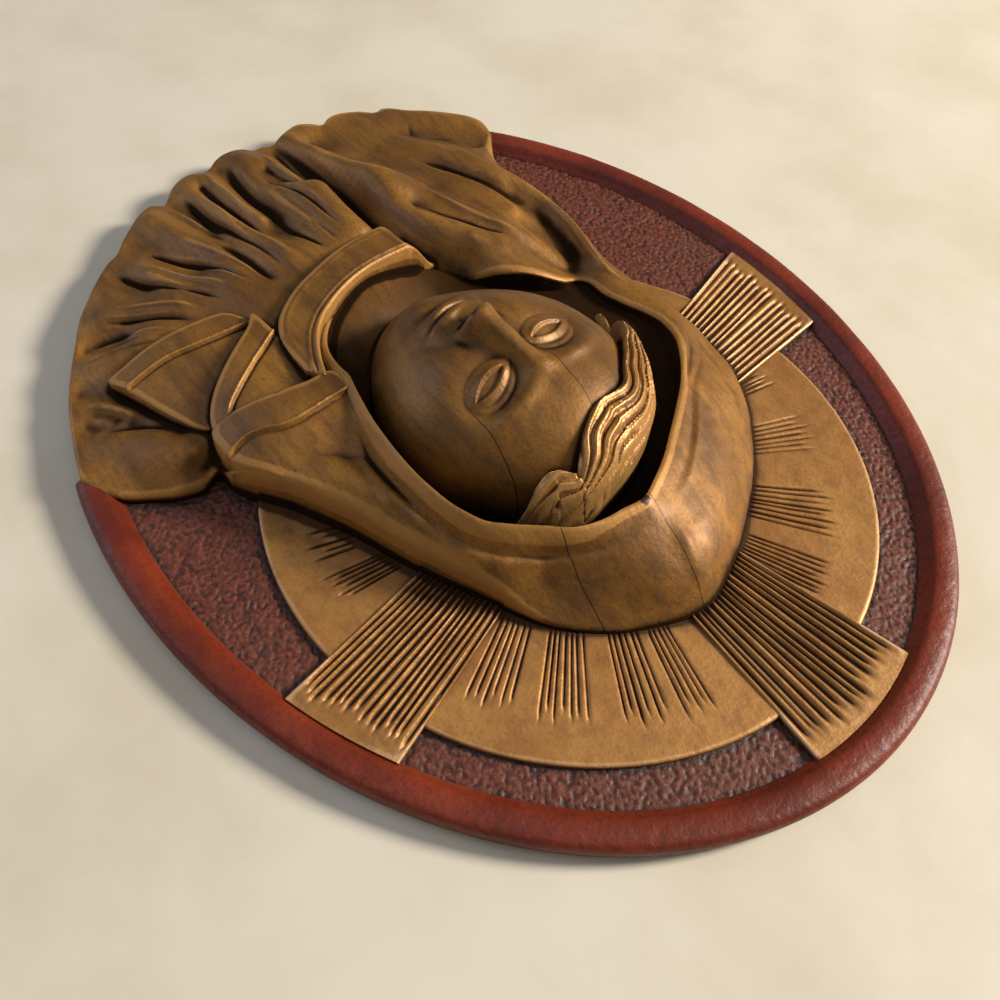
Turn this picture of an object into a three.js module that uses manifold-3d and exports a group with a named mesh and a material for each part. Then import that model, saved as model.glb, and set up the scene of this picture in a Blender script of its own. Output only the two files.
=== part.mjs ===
// Carved oval wall plaque: a veiled head and shoulders in front of a cross halo.
// Millimetres, Z up, the plaque hangs upright, its flat back lies on Y = 0 and it faces -Y.
import * as THREE from 'three';
import { mergeVertices } from 'three/addons/utils/BufferGeometryUtils.js';
import Module from 'manifold-3d';

const wasm = await Module();
wasm.setup();

// Overall sizes
const plaqueHeight = 320;
const plaqueWidth = 260;
const groundHeight = 3.6;
const haloHeight = 5.4;
const armHeight = 6.6;
const rimHeight = 7.6;
const rimWidth = 11.5;
const rimStep = 3.4;
const reliefScale = 1;

// Half sizes of the oval that the point lists are laid out on
const drawnOval = [130, 160];

// Cloth dome
const edgeHeight = 10.5;
const domeRise = 17;
const domePower = 2.2;
const edgeDrop = 1.6;

// Halo and rays
const haloCentre = [1.5, 39.5];
const haloRadius = 95.5;
const armGrooves = 12;
const grooveWidth = 1.5;
const grooveDepth = 0.9;
const rayDepth = 0.8;
const armPlainEnd = 9;
const armFall = 1.3;

// Head
const headCentre = [8.5, 12.5];
const headTilt = 14;
const headHalfWidth = 39.5;
const headHalfHeight = 47;
const headBase = 15;
const headRise = 32;
const hairSpread = 7.5;
const cavityFloor = 11;
const neckRise = 12.5;
const turn = 4;

// Mesh finish
const fieldError = 1.05;
const faceError = 0.9;
const hairError = 1.3;
const curveStep = 8;

const acrossScale = plaqueWidth / (2 * drawnOval[0]);
const upScale = plaqueHeight / (2 * drawnOval[1]);

// Edge of the plaque: the lower scallops from the left end of the rim round to the right end
const scallops = [
  [-86.5, -114], [-88, -120], [-86.5, -126], [-81, -133], [-74, -139.5], [-67, -144], [-62, -149],
  [-58, -151], [-54.5, -150], [-49, -154.5], [-40.5, -157.5], [-36, -157], [-31.5, -154.5], [-28, -157.5],
  [-22.5, -160], [-17, -158.5], [-11, -155], [-7.5, -153], [-3, -154], [1, -153.5], [3.5, -156.5],
  [9, -158], [15, -156.5], [20.5, -152.5], [24, -151.3], [29, -152.8], [34, -151.5], [38.5, -148.5],
  [42, -144.5], [45, -141.8], [49, -144], [54, -142], [60, -137.3], [66, -131.5], [71, -126],
  [75, -123.8], [80, -119.5], [85, -114.5], [90, -109], [95, -103], [100, -95], [106, -85],
  [111, -76], [115.5, -66], [120, -53], [123.5, -41],
];

// Foot of the veil and shoulder, where they meet the halo and the ground
const veilFoot = [
  [123.5, -39], [121, -33.5], [116.5, -29], [110, -24.5], [103, -20.5], [96.5, -19], [90, -20.5],
  [88.5, -14], [85, -6.5], [79.5, 1.5], [75, 10], [70, 20], [65.5, 32], [62, 41], [57, 52], [51, 63.5],
  [44.5, 75.5], [36.5, 84.5], [28, 91], [18, 95.8], [8, 99.4], [0, 99.8], [-10, 96.5], [-22, 90.5],
  [-33, 83], [-44, 75], [-54, 66], [-62, 57], [-68, 47], [-72.5, 36], [-74, 22], [-74.5, 8],
  [-73, -4], [-71.5, -16], [-71, -25], [-73, -34], [-75.5, -45], [-77, -58], [-77, -69], [-75.5, -80],
  [-74, -90], [-75.5, -97], [-80.5, -105], [-86.5, -113],
];

// Beyond the scalloped edge, where the cloth is trimmed to the outline
const beyondEdge = [[-90, -116], [-96, -150], [-60, -170], [60, -170], [110, -120], [132, -45]];

// Edge of the hood opening, round by the collar and back up beside the cheek
const openingEdge = [
  [6, 70.5], [13, 70], [20.5, 69.3], [28, 67], [35.5, 61.5], [42, 56.3], [47, 51.2], [50.3, 44.5],
  [52.2, 36], [53.2, 26], [52.8, 15], [51.6, 5], [49.6, -4], [47, -14], [46.5, -19], [44, -30],
  [38, -39], [30, -45.5], [20, -49], [8, -51], [-5, -51.5], [-11, -50.3], [-16, -46], [-21.5, -39],
  [-28, -33], [-35, -28], [-41, -24], [-46.5, -21.5], [-52, -21.3], [-54.5, -17.5], [-54.5, -10],
  [-56.5, -2], [-59.3, 6], [-60, 13], [-56.8, 22], [-50, 31],
  [-41, 40], [-30, 48.5], [-18, 57], [-10, 62.5], [-1, 67.5],
];

// Lines on the hood and the veil, each point with its height over the back
const heightLines = [
  [[-71, 40, 8], [-66, 50, 7], [-56, 63, 6], [-44, 75, 6], [-33, 83, 6], [-22, 90, 6], [-10, 96, 6],
    [2, 100, 6], [15, 97, 6], [28, 91, 6], [37, 84, 6.5], [45, 75, 8.5]],
  [[-60, 50, 11.5], [-42, 68, 12.5], [-22, 83.5, 14], [-3, 93, 14.8], [12, 92, 14.5], [26, 84.5, 12.5]],
  [[-66, 28, 13], [-54, 46, 16], [-38, 60, 19], [-24, 71, 20.5], [-10, 79, 22], [5, 83.5, 22], [18, 80.5, 21],
    [29, 75.5, 18.5], [38, 67.5, 19]],
  [[51, 63, 14], [56, 53.5, 16.5], [61, 41.5, 18.5], [64.5, 32, 19.5], [69, 20, 20.5], [74, 9, 21],
    [79.5, 0, 20.5], [85, -9, 19]],
  [[6, 72, 29], [12, 71.5, 28.6], [20, 71, 28], [28, 69, 27.5], [36, 63.5, 27.5], [43, 58, 27.8],
    [48, 52.5, 28.3], [51.5, 46, 29], [53.5, 37, 29.8], [54.7, 26, 30.4], [54.3, 15, 30.6], [53, 5, 30.6],
    [51, -4, 30.3], [48.5, -14, 29.5]],
  [[6, 72, 29], [-1, 69, 28.6], [-10, 64, 28], [-18, 58.5, 27], [-30, 50, 25.2], [-41, 41.5, 23.2],
    [-50, 32.5, 21], [-58.5, 24, 18.6], [-65.5, 15.5, 16.5], [-69, 7, 15.3], [-67, -1, 15.3],
    [-61.5, -8, 16], [-59, -15, 16.3], [-61, -23, 16], [-65.5, -31, 15.6], [-69, -42, 15.3],
    [-71, -55, 15], [-71.5, -68, 15], [-70.5, -80, 14.6], [-69.5, -90, 14], [-72, -97, 13], [-77, -104, 12]],
  [[57.5, 38, 25.5], [58.5, 22, 25.5], [57.5, 5, 24.5]],
  [[62, 28, 24], [65.5, 12, 24.5], [70, 0, 23]],
  [[55, -12, 22.5], [54.5, -35, 22.5], [53, -58, 22.5]],
  [[-74, 12, 9.5], [-72.5, -8, 9.5], [-71.3, -25, 9.5], [-75.5, -45, 9], [-77, -62, 9], [-75.5, -80, 9],
    [-75, -94, 9], [-82, -106, 9]],
  [[-57, -26, 11.5], [-61, -36, 10.5], [-64, -48, 10], [-65, -60, 10.6], [-65, -71, 12]],
  [[-54.8, -18, 14], [-55, -10, 14.8], [-57, -2, 15], [-59.8, 6, 15.4], [-60.5, 13, 16.6],
    [-57.3, 22.5, 18.6]],
  [[-50.5, -23.5, 13.5], [-44.5, -29, 17], [-38, -34.5, 20.5], [-32, -41, 23.5]],
  [[-51.5, -28.5, 12.5], [-48.5, -34.5, 15], [-44.5, -41, 18.5]],
  [[-54.5, -30, 13], [-52, -37, 16], [-48, -45, 19.5]],
  [[-20, -42, 15], [-15.5, -50, 14.5], [-10.5, -61, 15], [-7, -72, 15.5], [-7, -90, 13.5], [-8.4, -110, 12],
    [-9, -132, 10], [-8, -150, 8.6]],
  [[92, -22, 8.5], [98, -20.5, 8.5], [104, -22, 8], [111, -26, 7.5], [117, -30.5, 7.5], [122, -36, 7.5]],
];

// Folds of the cloth: depth under the dome, then the line of the fold
const foldLines = [
  [0, [-27, -48], [-21, -61], [-16, -78], [-13, -95], [-12.5, -116],
    [-12.7, -137], [-13.5, -153]],
  [3, [-40, -47], [-34, -56], [-29, -66], [-23, -78]],
  [1.8, [-43, -52], [-40, -57], [-36, -66], [-33, -78], [-33.5, -89]],
  [5.8, [-50, -50], [-48, -57], [-44, -67.5], [-40, -80], [-38, -90]],
  [5.2, [-57, -62], [-52, -77], [-45, -95], [-36, -111], [-28, -127], [-21, -144]],
  [1.6, [-66, -84], [-64.5, -97], [-59.5, -109], [-53, -119], [-46.5, -129], [-40, -139], [-35, -148]],
  [4.4, [-74.5, -106], [-69, -116], [-64, -124.5], [-58, -130]],
  [-0.6, [-83, -119], [-75, -128], [-66, -136], [-58, -143]],
  [1, [-30, -100], [-24, -112], [-18, -128]],
  [0.4, [0, -73], [-1.5, -90], [-4, -107]],
  [3.2, [-2, -113], [-1.5, -128], [-2, -143]],
  [0.8, [2, -114], [3.5, -125], [2, -140]],
  [2.8, [7, -122], [6.5, -134]],
  [0, [13, -72], [15, -86], [15.5, -105], [14.5, -125], [11.5, -140], [9, -150]],
  [3.6, [21, -91], [20.5, -105], [20, -125], [19.5, -140], [18.5, -149]],
  [0.6, [24.5, -103], [25.7, -113], [26, -124], [25.5, -136], [25, -146]],
  [2.8, [28.5, -97], [30, -110], [30.2, -125], [30, -140]],
  [0.2, [29, -76], [33, -87], [34, -102], [35, -116], [35, -130], [33.5, -144]],
  [3.2, [39.5, -74], [40, -90], [38, -106], [39.5, -124], [41.5, -137]],
  [0.2, [45, -70], [46, -85], [47.5, -100], [50, -118], [52, -135]],
  [3.2, [53.5, -94], [56.5, -105], [60, -118], [64.5, -127]],
  [0.4, [59, -76], [64, -90], [68.5, -102], [69.5, -111]],
  [2.6, [73, -98], [75.5, -112]],
  [2.6, [62, -66], [75, -69], [88, -69], [99, -67]],
  [2.8, [63, -40], [82, -35]],
  [0.8, [80, -82], [83, -95], [87, -104]],
  [0.6, [86, -75], [95, -78.5], [104, -81]],
  [4, [88, -84.5], [95, -87], [100, -88.5]],
  [0.6, [87, -90.5], [92, -94.5], [97, -98]],
  [5, [92.5, -36], [96.5, -48], [100.5, -60]],
  [3.2, [93, -26], [99, -27.5], [107, -32], [114, -38]],
  [2.4, [98, -38], [106, -46], [114, -52]],
  [4.6, [100, -47], [106, -54], [113, -59]],
  [1.6, [102, -52], [107, -60], [113, -66]],
  [3.4, [105, -66], [110, -72]],
];

// Three sheets of the veil end one over the other on the right shoulder
const sheets = [
  {
    edge: [[52, 34], [60, 32], [67, 24], [71, 15], [76, 7], [81.5, -2], [87, -11], [88.3, -19], [87, -25.5],
      [80, -25.3], [75, -24], [70, -22.5], [64, -21], [58, -19.8], [50, -19], [49, -14], [51, -2], [54, 15]],
    points: [[57, 30, 22], [66, 24, 20], [70, 13, 19], [52, -10, 28.6], [60, -10, 28.4], [68, -9.5, 27.6],
      [76, -13, 25.6], [84, -15, 21.5], [52, -19, 28.4], [60, -20, 28], [70, -22.5, 26.8], [79, -25, 24],
      [86.5, -25.5, 20], [77, 4, 20], [60, 5, 25]],
    hem: [[47, -10], [56, -9.6], [62, -9], [68, -9], [73, -10.6], [77, -13.2], [82, -15.2], [92, -14]],
  },
  {
    edge: [[50, -12], [84, -14], [86.5, -20], [86.3, -27], [84, -32], [80, -36.7], [75, -41], [70, -44.8],
      [64, -49], [58.5, -53.2], [55, -57.5], [53.6, -47], [54.4, -33], [52, -21]],
    points: [[54, -16, 23.5], [70, -16, 22.5], [84, -18, 18.5], [55.5, -45, 25.4], [65, -38, 25.4],
      [75, -31, 24], [82, -26, 21.5], [55, -57, 24.6], [64, -49, 24.6], [75, -41, 23.2], [84, -32, 20]],
    hem: [[50, -48], [56, -44], [60, -41.2], [65, -38], [70, -34.6], [75, -31.2], [79, -28.2], [82, -24],
      [86, -14]],
  },
  {
    edge: [[56, -38], [85, -28], [89, -31.5], [91.5, -37], [94, -44], [96.5, -52], [99, -60], [101, -66.5],
      [95, -67.8], [88, -69], [81, -69.3], [75, -68.8], [67, -67.6], [61, -66], [57.5, -61], [55.5, -54]],
    points: [[60, -38, 21], [87, -31, 17.5], [62, -56.5, 22.2], [75, -58.5, 20.8], [88, -59.5, 18.4],
      [98, -58.5, 15.6], [61, -66, 21.4], [75, -69, 19.6], [88, -69, 17], [100, -67, 13.8], [92, -37, 16.6],
      [96, -50, 15.8]],
    hem: [[54, -55.5], [62, -56.6], [68, -57.3], [75, -58.3], [82, -59.5], [89, -59.6], [104, -58.2]],
  },
];
const hemRise = 0.9;

// Collar band at the neck
const collarInner = [
  [-17, -54], [-11, -52.7], [-5, -52], [0, -51.8], [8, -51.3], [15, -50.4], [22, -48.6], [28, -46.2],
  [34, -43], [39, -39.6], [43.5, -35], [47, -29.5], [50, -23], [52, -17],
];
const collarOuter = [
  [55.5, -24], [55.3, -33], [54, -41], [50.5, -48], [45, -53.3], [38, -58], [30, -61.8], [22, -65],
  [13, -67.6], [4, -68.8], [-5, -69.4], [-12, -70],
];
const collarHeight = 29;
const collarFall = 14;

// Hair on both sides of the parting: out along the top, back along the hairline
const hairLeft = [
  [19.5, 63], [9, 62], [-1, 59.4], [-10.6, 55], [-19, 49], [-25, 42], [-30.5, 33], [-36.5, 21], [-42, 9],
  [-45.5, 1], [-44.5, -2.5], [-41.5, 2], [-37.5, 11], [-30.5, 21], [-21.5, 30], [-14.5, 36.5], [-10, 40.6],
  [-3.6, 42.6], [3, 43.4], [8.5, 46.6], [13.5, 50.8], [18.5, 57],
];
const hairRight = [
  [18.5, 63], [25, 62.4], [32, 61], [38, 58], [42.5, 54.5], [44.5, 51], [42, 51.2], [38.5, 52.4], [33.9, 53],
  [28.5, 51.4], [23.5, 51.4], [19.5, 55],
];

// Thin-plate surface through a set of height points
class Plate {
  constructor(points, slack) {
    const n = points.length;
    const size = n + 3;
    const rows = [];
    for (let i = 0; i < size; i++) {
      rows.push(new Float64Array(size + 1));
    }
    for (let i = 0; i < n; i++) {
      for (let j = 0; j < n; j++) {
        rows[i][j] = Plate.kernel(points[i], points[j][0], points[j][1]);
      }
      rows[i][i] += slack;
      const basis = [1, points[i][0], points[i][1]];
      for (let k = 0; k < 3; k++) {
        rows[i][n + k] = basis[k];
        rows[n + k][i] = basis[k];
      }
      rows[i][size] = points[i][2];
    }
    for (let c = 0; c < size; c++) {
      let best = c;
      for (let r = c + 1; r < size; r++) {
        if (Math.abs(rows[r][c]) > Math.abs(rows[best][c])) {
          best = r;
        }
      }
      const swap = rows[c];
      rows[c] = rows[best];
      rows[best] = swap;
      for (let r = c + 1; r < size; r++) {
        const f = rows[r][c] / rows[c][c];
        for (let k = c; k <= size; k++) {
          rows[r][k] -= f * rows[c][k];
        }
      }
    }
    const w = new Float64Array(size);
    for (let r = size - 1; r >= 0; r--) {
      let sum = rows[r][size];
      for (let k = r + 1; k < size; k++) {
        sum -= rows[r][k] * w[k];
      }
      w[r] = sum / rows[r][r];
    }
    this.points = points;
    this.weights = w;
  }

  static kernel(p, x, z) {
    const d = ((p[0] - x) ** 2 + (p[1] - z) ** 2) / 400;
    return d > 0 ? d * Math.log(d) : 0;
  }

  at(x, z) {
    const n = this.points.length;
    let sum = this.weights[n] + this.weights[n + 1] * x + this.weights[n + 2] * z;
    for (let i = 0; i < n; i++) {
      sum += this.weights[i] * Plate.kernel(this.points[i], x, z);
    }
    return sum;
  }
}

// Points along a line at even steps
function along(line, step) {
  const curve = new THREE.CatmullRomCurve3(line.map((p) => new THREE.Vector3(p[0], p[1], p[2] ?? 0)));
  const count = Math.max(1, Math.round(curve.getLength() / step));
  return curve.getSpacedPoints(count).map((p) => [p.x, p.y, p.z]);
}

const bump = (d) => Math.exp(-d * d);
const clamp = (v, low, high) => Math.min(high, Math.max(low, v));

function dome(x, z) {
  const e = Math.min(1.02, Math.hypot(x / (drawnOval[0] - 5), z / (drawnOval[1] - 3)));
  return edgeHeight + domeRise * (1 - Math.pow(e, domePower));
}

// The cloth surface
const clothPoints = [];
for (const line of heightLines) {
  clothPoints.push(...along(line, curveStep));
}
for (const [depth, ...line] of foldLines) {
  for (const [x, z] of along(line, curveStep)) {
    clothPoints.push([x, z, dome(x, z) - depth]);
  }
}
for (const [x, z] of along(scallops, curveStep)) {
  clothPoints.push([x, z, edgeHeight - edgeDrop]);
}
const clothPlate = new Plate(clothPoints, 0.02);
const cloth = (x, z) => clothPlate.at(x, z);

// The face: plain, calm and symmetrical, laid out by thirds
const tiltCos = Math.cos(THREE.MathUtils.degToRad(headTilt));
const tiltSin = Math.sin(THREE.MathUtils.degToRad(headTilt));

function face(x, z) {
  const px = x - headCentre[0];
  const pz = z - headCentre[1];
  const u = px * tiltCos + pz * tiltSin;
  const v = pz * tiltCos - px * tiltSin;
  const jaw = v < 0 ? 1 - 0.3 * (v / headHalfHeight) ** 2 : 1;
  const q = (u / (headHalfWidth * jaw)) ** 2 + (v / headHalfHeight) ** 2;
  if (q >= 1) return 0;
  let h = headBase + headRise * Math.pow(1 - q, 0.44) + 0.07 * v;
  const m = u - turn * Math.sqrt(1 - q);
  for (const side of [-1, 1]) {
    const e = m - side * 13.5;
    h -= 4.2 * bump(e / 8.5) * bump((v - 7) / 6);
    h += 3 * bump(e / 6.5) * bump((v - 6) / 4.2);
    h += 1.3 * bump(e / 10) * bump((v - 16 + 0.012 * e * e) / 2.6);
    h += 1 * bump((m - side * 4.4) / 2.6) * bump((v + 11) / 3.2);
    h += 1.2 * bump((m - side * 17) / 10) * bump((v + 8) / 9);
  }
  const bridge = clamp((14 - v) / 25, 0, 1);
  const below = v < -11 ? bump((v + 11) / 2.6) : 1;
  const above = v > 16 ? bump((v - 16) / 5) : 1;
  h += (2 + 7 * bridge) * bump(m / (3.4 + 1.8 * bridge)) * below * above;
  h += 2 * bump(m / 8.5) * bump((v + 20) / 2.4);
  h += 2.2 * bump(m / 7) * bump((v + 24.6) / 2.6);
  h -= 1.4 * bump(m / 9) * bump((v + 22.2) / 0.9);
  h -= 1.2 * bump(m / 7) * bump((v + 29.5) / 2.6);
  h += 2.4 * bump(m / 8) * bump((v + 36) / 5);
  return h;
}

// Inside the hood: a floor that rises to the neck
function hollow(x, z) {
  return cavityFloor + neckRise * bump((x - 20) / 30) * bump((z + 50) / 26);
}

function hair(x, z) {
  const px = x - headCentre[0];
  const pz = z - headCentre[1];
  const u = px * tiltCos + pz * tiltSin;
  const v = pz * tiltCos - px * tiltSin;
  const q = Math.min(1, (u / (headHalfWidth + hairSpread)) ** 2 + (v / (headHalfHeight + hairSpread)) ** 2);
  return headBase + 1.5 + headRise * Math.pow(1 - q, 0.42);
}

// Right-angled triangle mesh of a height function, finer where it bends
function field(height, box, level, error) {
  const cells = 2 ** level;
  const grid = cells + 1;
  const size = Math.max(box[1] - box[0], box[3] - box[2]);
  const step = size / cells;
  const px = (i) => box[0] + i * step;
  const pz = (j) => box[2] + j * step;
  const heights = new Float64Array(grid * grid);
  for (let j = 0; j < grid; j++) {
    for (let i = 0; i < grid; i++) {
      heights[j * grid + i] = height(px(i), pz(j));
    }
  }
  const errors = new Float64Array(grid * grid);
  const levels = [[[0, 0, cells, cells, cells, 0], [cells, cells, 0, 0, 0, cells]]];
  for (let d = 1; d < 2 * level; d++) {
    const next = [];
    for (const [ax, ay, bx, by, cx, cy] of levels[d - 1]) {
      const mx = (ax + bx) >> 1;
      const my = (ay + by) >> 1;
      next.push([cx, cy, ax, ay, mx, my], [bx, by, cx, cy, mx, my]);
    }
    levels.push(next);
  }
  for (let d = 2 * level - 1; d >= 0; d--) {
    for (const [ax, ay, bx, by, cx, cy] of levels[d]) {
      const m = ((ay + by) >> 1) * grid + ((ax + bx) >> 1);
      const flat = (heights[ay * grid + ax] + heights[by * grid + bx]) / 2;
      let worst = Math.max(errors[m], Math.abs(flat - heights[m]));
      if (d < 2 * level - 1) {
        const left = ((ay + cy) >> 1) * grid + ((ax + cx) >> 1);
        const right = ((by + cy) >> 1) * grid + ((bx + cx) >> 1);
        worst = Math.max(worst, errors[left], errors[right]);
      }
      errors[m] = worst;
    }
  }
  const index = new Map();
  const corners = [];
  const faces = [];
  const vertex = (i, j) => {
    const key = j * grid + i;
    if (!index.has(key)) {
      index.set(key, corners.length);
      corners.push([px(i), pz(j), heights[key], i, j]);
    }
    return index.get(key);
  };
  const emit = (ax, ay, bx, by, cx, cy) => {
    const mx = (ax + bx) >> 1;
    const my = (ay + by) >> 1;
    if (Math.abs(ax - cx) + Math.abs(ay - cy) > 1 && errors[my * grid + mx] > error) {
      emit(cx, cy, ax, ay, mx, my);
      emit(bx, by, cx, cy, mx, my);
    } else {
      faces.push([vertex(ax, ay), vertex(cx, cy), vertex(bx, by)]);
    }
  };
  emit(0, 0, cells, cells, cells, 0);
  emit(cells, cells, 0, 0, 0, cells);
  const ring = corners.map((c, k) => k).filter((k) => {
    const [, , , i, j] = corners[k];
    return i === 0 || j === 0 || i === cells || j === cells;
  });
  const lap = ([, , , i, j]) => {
    if (j === 0) return i;
    if (i === cells) return cells + j;
    if (j === cells) return 3 * cells - i;
    return 4 * cells - j;
  };
  ring.sort((a, b) => lap(corners[a]) - lap(corners[b]));
  const positions = corners.map(([x, z, h]) => [x, z, h]);
  const foot = ring.map((k) => positions.push([corners[k][0], corners[k][1], 0]) - 1);
  const middle = positions.push([box[0] + size / 2, box[2] + size / 2, 0]) - 1;
  for (let k = 0; k < ring.length; k++) {
    const n = (k + 1) % ring.length;
    faces.push([ring[n], ring[k], foot[k]], [ring[n], foot[k], foot[n]], [foot[n], foot[k], middle]);
  }
  return solid(positions, faces);
}

// Corner lists in plaque terms (across, up, out) to a closed solid
function solid(positions, faces) {
  const vertProperties = new Float32Array(positions.length * 3);
  positions.forEach(([x, z, w], k) => {
    vertProperties[3 * k] = x * acrossScale;
    vertProperties[3 * k + 1] = z * upScale;
    vertProperties[3 * k + 2] = w * reliefScale;
  });
  const triVerts = new Uint32Array(faces.length * 3);
  faces.forEach((f, k) => triVerts.set(f, 3 * k));
  let body = new wasm.Manifold(new wasm.Mesh({ numProp: 3, vertProperties, triVerts }));
  if (body.volume() < 0) {
    faces.forEach((f, k) => triVerts.set([f[0], f[2], f[1]], 3 * k));
    body = new wasm.Manifold(new wasm.Mesh({ numProp: 3, vertProperties, triVerts }));
  }
  return body;
}

// A three.js shape drawn out to a given height
function slab(line, low, high) {
  const shape = new THREE.Shape(line.map(([x, z]) => new THREE.Vector2(x, z)));
  const geometry = new THREE.ExtrudeGeometry(shape, { depth: high - low, bevelEnabled: false });
  geometry.deleteAttribute('uv');
  geometry.deleteAttribute('normal');
  const merged = mergeVertices(geometry, 1e-5);
  const at = merged.getAttribute('position');
  const positions = [];
  for (let k = 0; k < at.count; k++) positions.push([at.getX(k), at.getY(k), at.getZ(k) + low]);
  const faces = [];
  const order = merged.getIndex().array;
  for (let k = 0; k < order.length; k += 3) faces.push([order[k], order[k + 1], order[k + 2]]);
  return solid(positions, faces);
}

const smooth = (line, step) => {
  const curve = new THREE.CatmullRomCurve3(line.map(([x, z]) => new THREE.Vector3(x, z, 0)), true);
  const count = Math.round(curve.getLength() / step);
  return curve.getSpacedPoints(count).slice(0, count).map((p) => [p.x, p.y]);
};

const boxOf = (line) => {
  const xs = line.map((p) => p[0]);
  const zs = line.map((p) => p[1]);
  return [Math.min(...xs) - 1, Math.max(...xs) + 1, Math.min(...zs) - 1, Math.max(...zs) + 1];
};

const carve = (height, line, level, error) => {
  const block = field(height, boxOf(line), level, error);
  return block.intersect(slab(line, 0, 90));
};

// The plaque outline: an ellipse above, the scallops below
function plaqueOutline() {
  const line = [];
  const [left, right] = [scallops[0], scallops.at(-1)];
  const start = Math.atan2(right[1] / drawnOval[1], right[0] / drawnOval[0]);
  const end = Math.PI + Math.atan2(-left[1] / drawnOval[1], -left[0] / drawnOval[0]);
  const count = 84;
  for (let k = 0; k <= count; k++) {
    const a = start + (end - start) * (k / count);
    line.push([(drawnOval[0] + 0.25) * Math.cos(a), (drawnOval[1] + 0.25) * Math.sin(a)]);
  }
  for (const p of along(scallops, 3.6).slice(1, -1)) {
    line.push([p[0], p[1]]);
  }
  return line;
}

// A plain oval set in from the edge
function oval(inset, count) {
  const line = [];
  for (let k = 0; k < count; k++) {
    const a = (2 * Math.PI * k) / count;
    line.push([(drawnOval[0] - inset) * Math.cos(a), (drawnOval[1] - inset) * Math.sin(a)]);
  }
  return line;
}

// Rim: a rounded band swept round the oval
function rim() {
  const profile = [
    [1.4, 0], [0, 2], [0, rimHeight - 2.4], [1.4, rimHeight - 0.5], [rimWidth * 0.5, rimHeight],
    [rimWidth - rimStep, rimHeight - 0.5], [rimWidth, groundHeight + 0.7], [rimWidth + 0.3, 0],
  ];
  const count = 72;
  const positions = [];
  const faces = [];
  for (let k = 0; k < count; k++) {
    const a = (2 * Math.PI * k) / count;
    for (const [inset, w] of profile) {
      positions.push([(drawnOval[0] - inset) * Math.cos(a), (drawnOval[1] - inset) * Math.sin(a), w]);
    }
  }
  const n = profile.length;
  for (let k = 0; k < count; k++) {
    const next = (k + 1) % count;
    for (let i = 0; i < n; i++) {
      const j = (i + 1) % n;
      faces.push([k * n + i, next * n + i, next * n + j], [k * n + i, next * n + j, k * n + j]);
    }
  }
  return solid(positions, faces);
}

// A cutter with a V section from one point of a surface to another
function notch(from, to, width, depth) {
  const dx = to[0] - from[0];
  const dz = to[1] - from[1];
  const length = Math.hypot(dx, dz);
  const nx = (-dz / length) * width * 0.5;
  const nz = (dx / length) * width * 0.5;
  const lift = 0.6;
  const spread = 1 + lift / depth;
  const positions = [];
  for (const [end, inward] of [[from, 1.2], [to, -1.6]]) {
    const ex = (dx / length) * inward;
    const ez = (dz / length) * inward;
    positions.push([end[0] + nx * spread, end[1] + nz * spread, end[2] + lift]);
    positions.push([end[0] - nx * spread, end[1] - nz * spread, end[2] + lift]);
    positions.push([end[0] + ex, end[1] + ez, end[2] - depth]);
  }
  const faces = [[0, 1, 2], [3, 5, 4], [0, 3, 4], [0, 4, 1], [1, 4, 5], [1, 5, 2], [2, 5, 3], [2, 3, 0]];
  return solid(positions, faces);
}

// Let the top of an arm fall from its inner end to the rim
function slope(body, inner, outer) {
  const middle = ([p, q]) => [(p[0] + q[0]) / 2, (p[1] + q[1]) / 2];
  const [from, to] = [middle(inner), middle(outer)];
  const [dx, dz] = [to[0] - from[0], to[1] - from[1]];
  const { numProp, vertProperties, triVerts } = body.getMesh();
  for (let k = 0; k < vertProperties.length; k += numProp) {
    if (vertProperties[k + 2] > groundHeight * reliefScale) {
      const x = vertProperties[k] / acrossScale - from[0];
      const z = vertProperties[k + 1] / upScale - from[1];
      vertProperties[k + 2] -= (armFall * reliefScale * (x * dx + z * dz)) / (dx * dx + dz * dz);
    }
  }
  return new wasm.Manifold(new wasm.Mesh({ numProp, vertProperties, triVerts }));
}

// Each arm of the cross: inner corners, then outer corners
const arms = [
  { inner: [[8, 96], [-19, 92]], outer: [[11.6, 152], [-34.6, 146]] },
  { inner: [[50, 66], [60, 42]], outer: [[104, 87], [120, 54.5]] },
  { inner: [[-66, 44.5], [-76, 8.5]], outer: [[-120, 37.5], [-120, -6.5]] },
];

// Each group of rays: first and last angle in degrees, inner and outer radius, number of lines
const rayGroups = [
  [-19, -12.5, 70, 86, 5], [-8, -2, 62, 86.5, 6], [29.5, 37.5, 56, 86, 6], [43, 52, 56, 87, 7],
  [59, 67, 56, 87, 6], [70.5, 76, 58, 88.5, 5], [111, 119.5, 56, 86, 7], [127, 139, 54, 85, 8],
  [151.5, 161.5, 56, 85, 7], [172.5, 176.5, 64, 85, 4],
];

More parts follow.
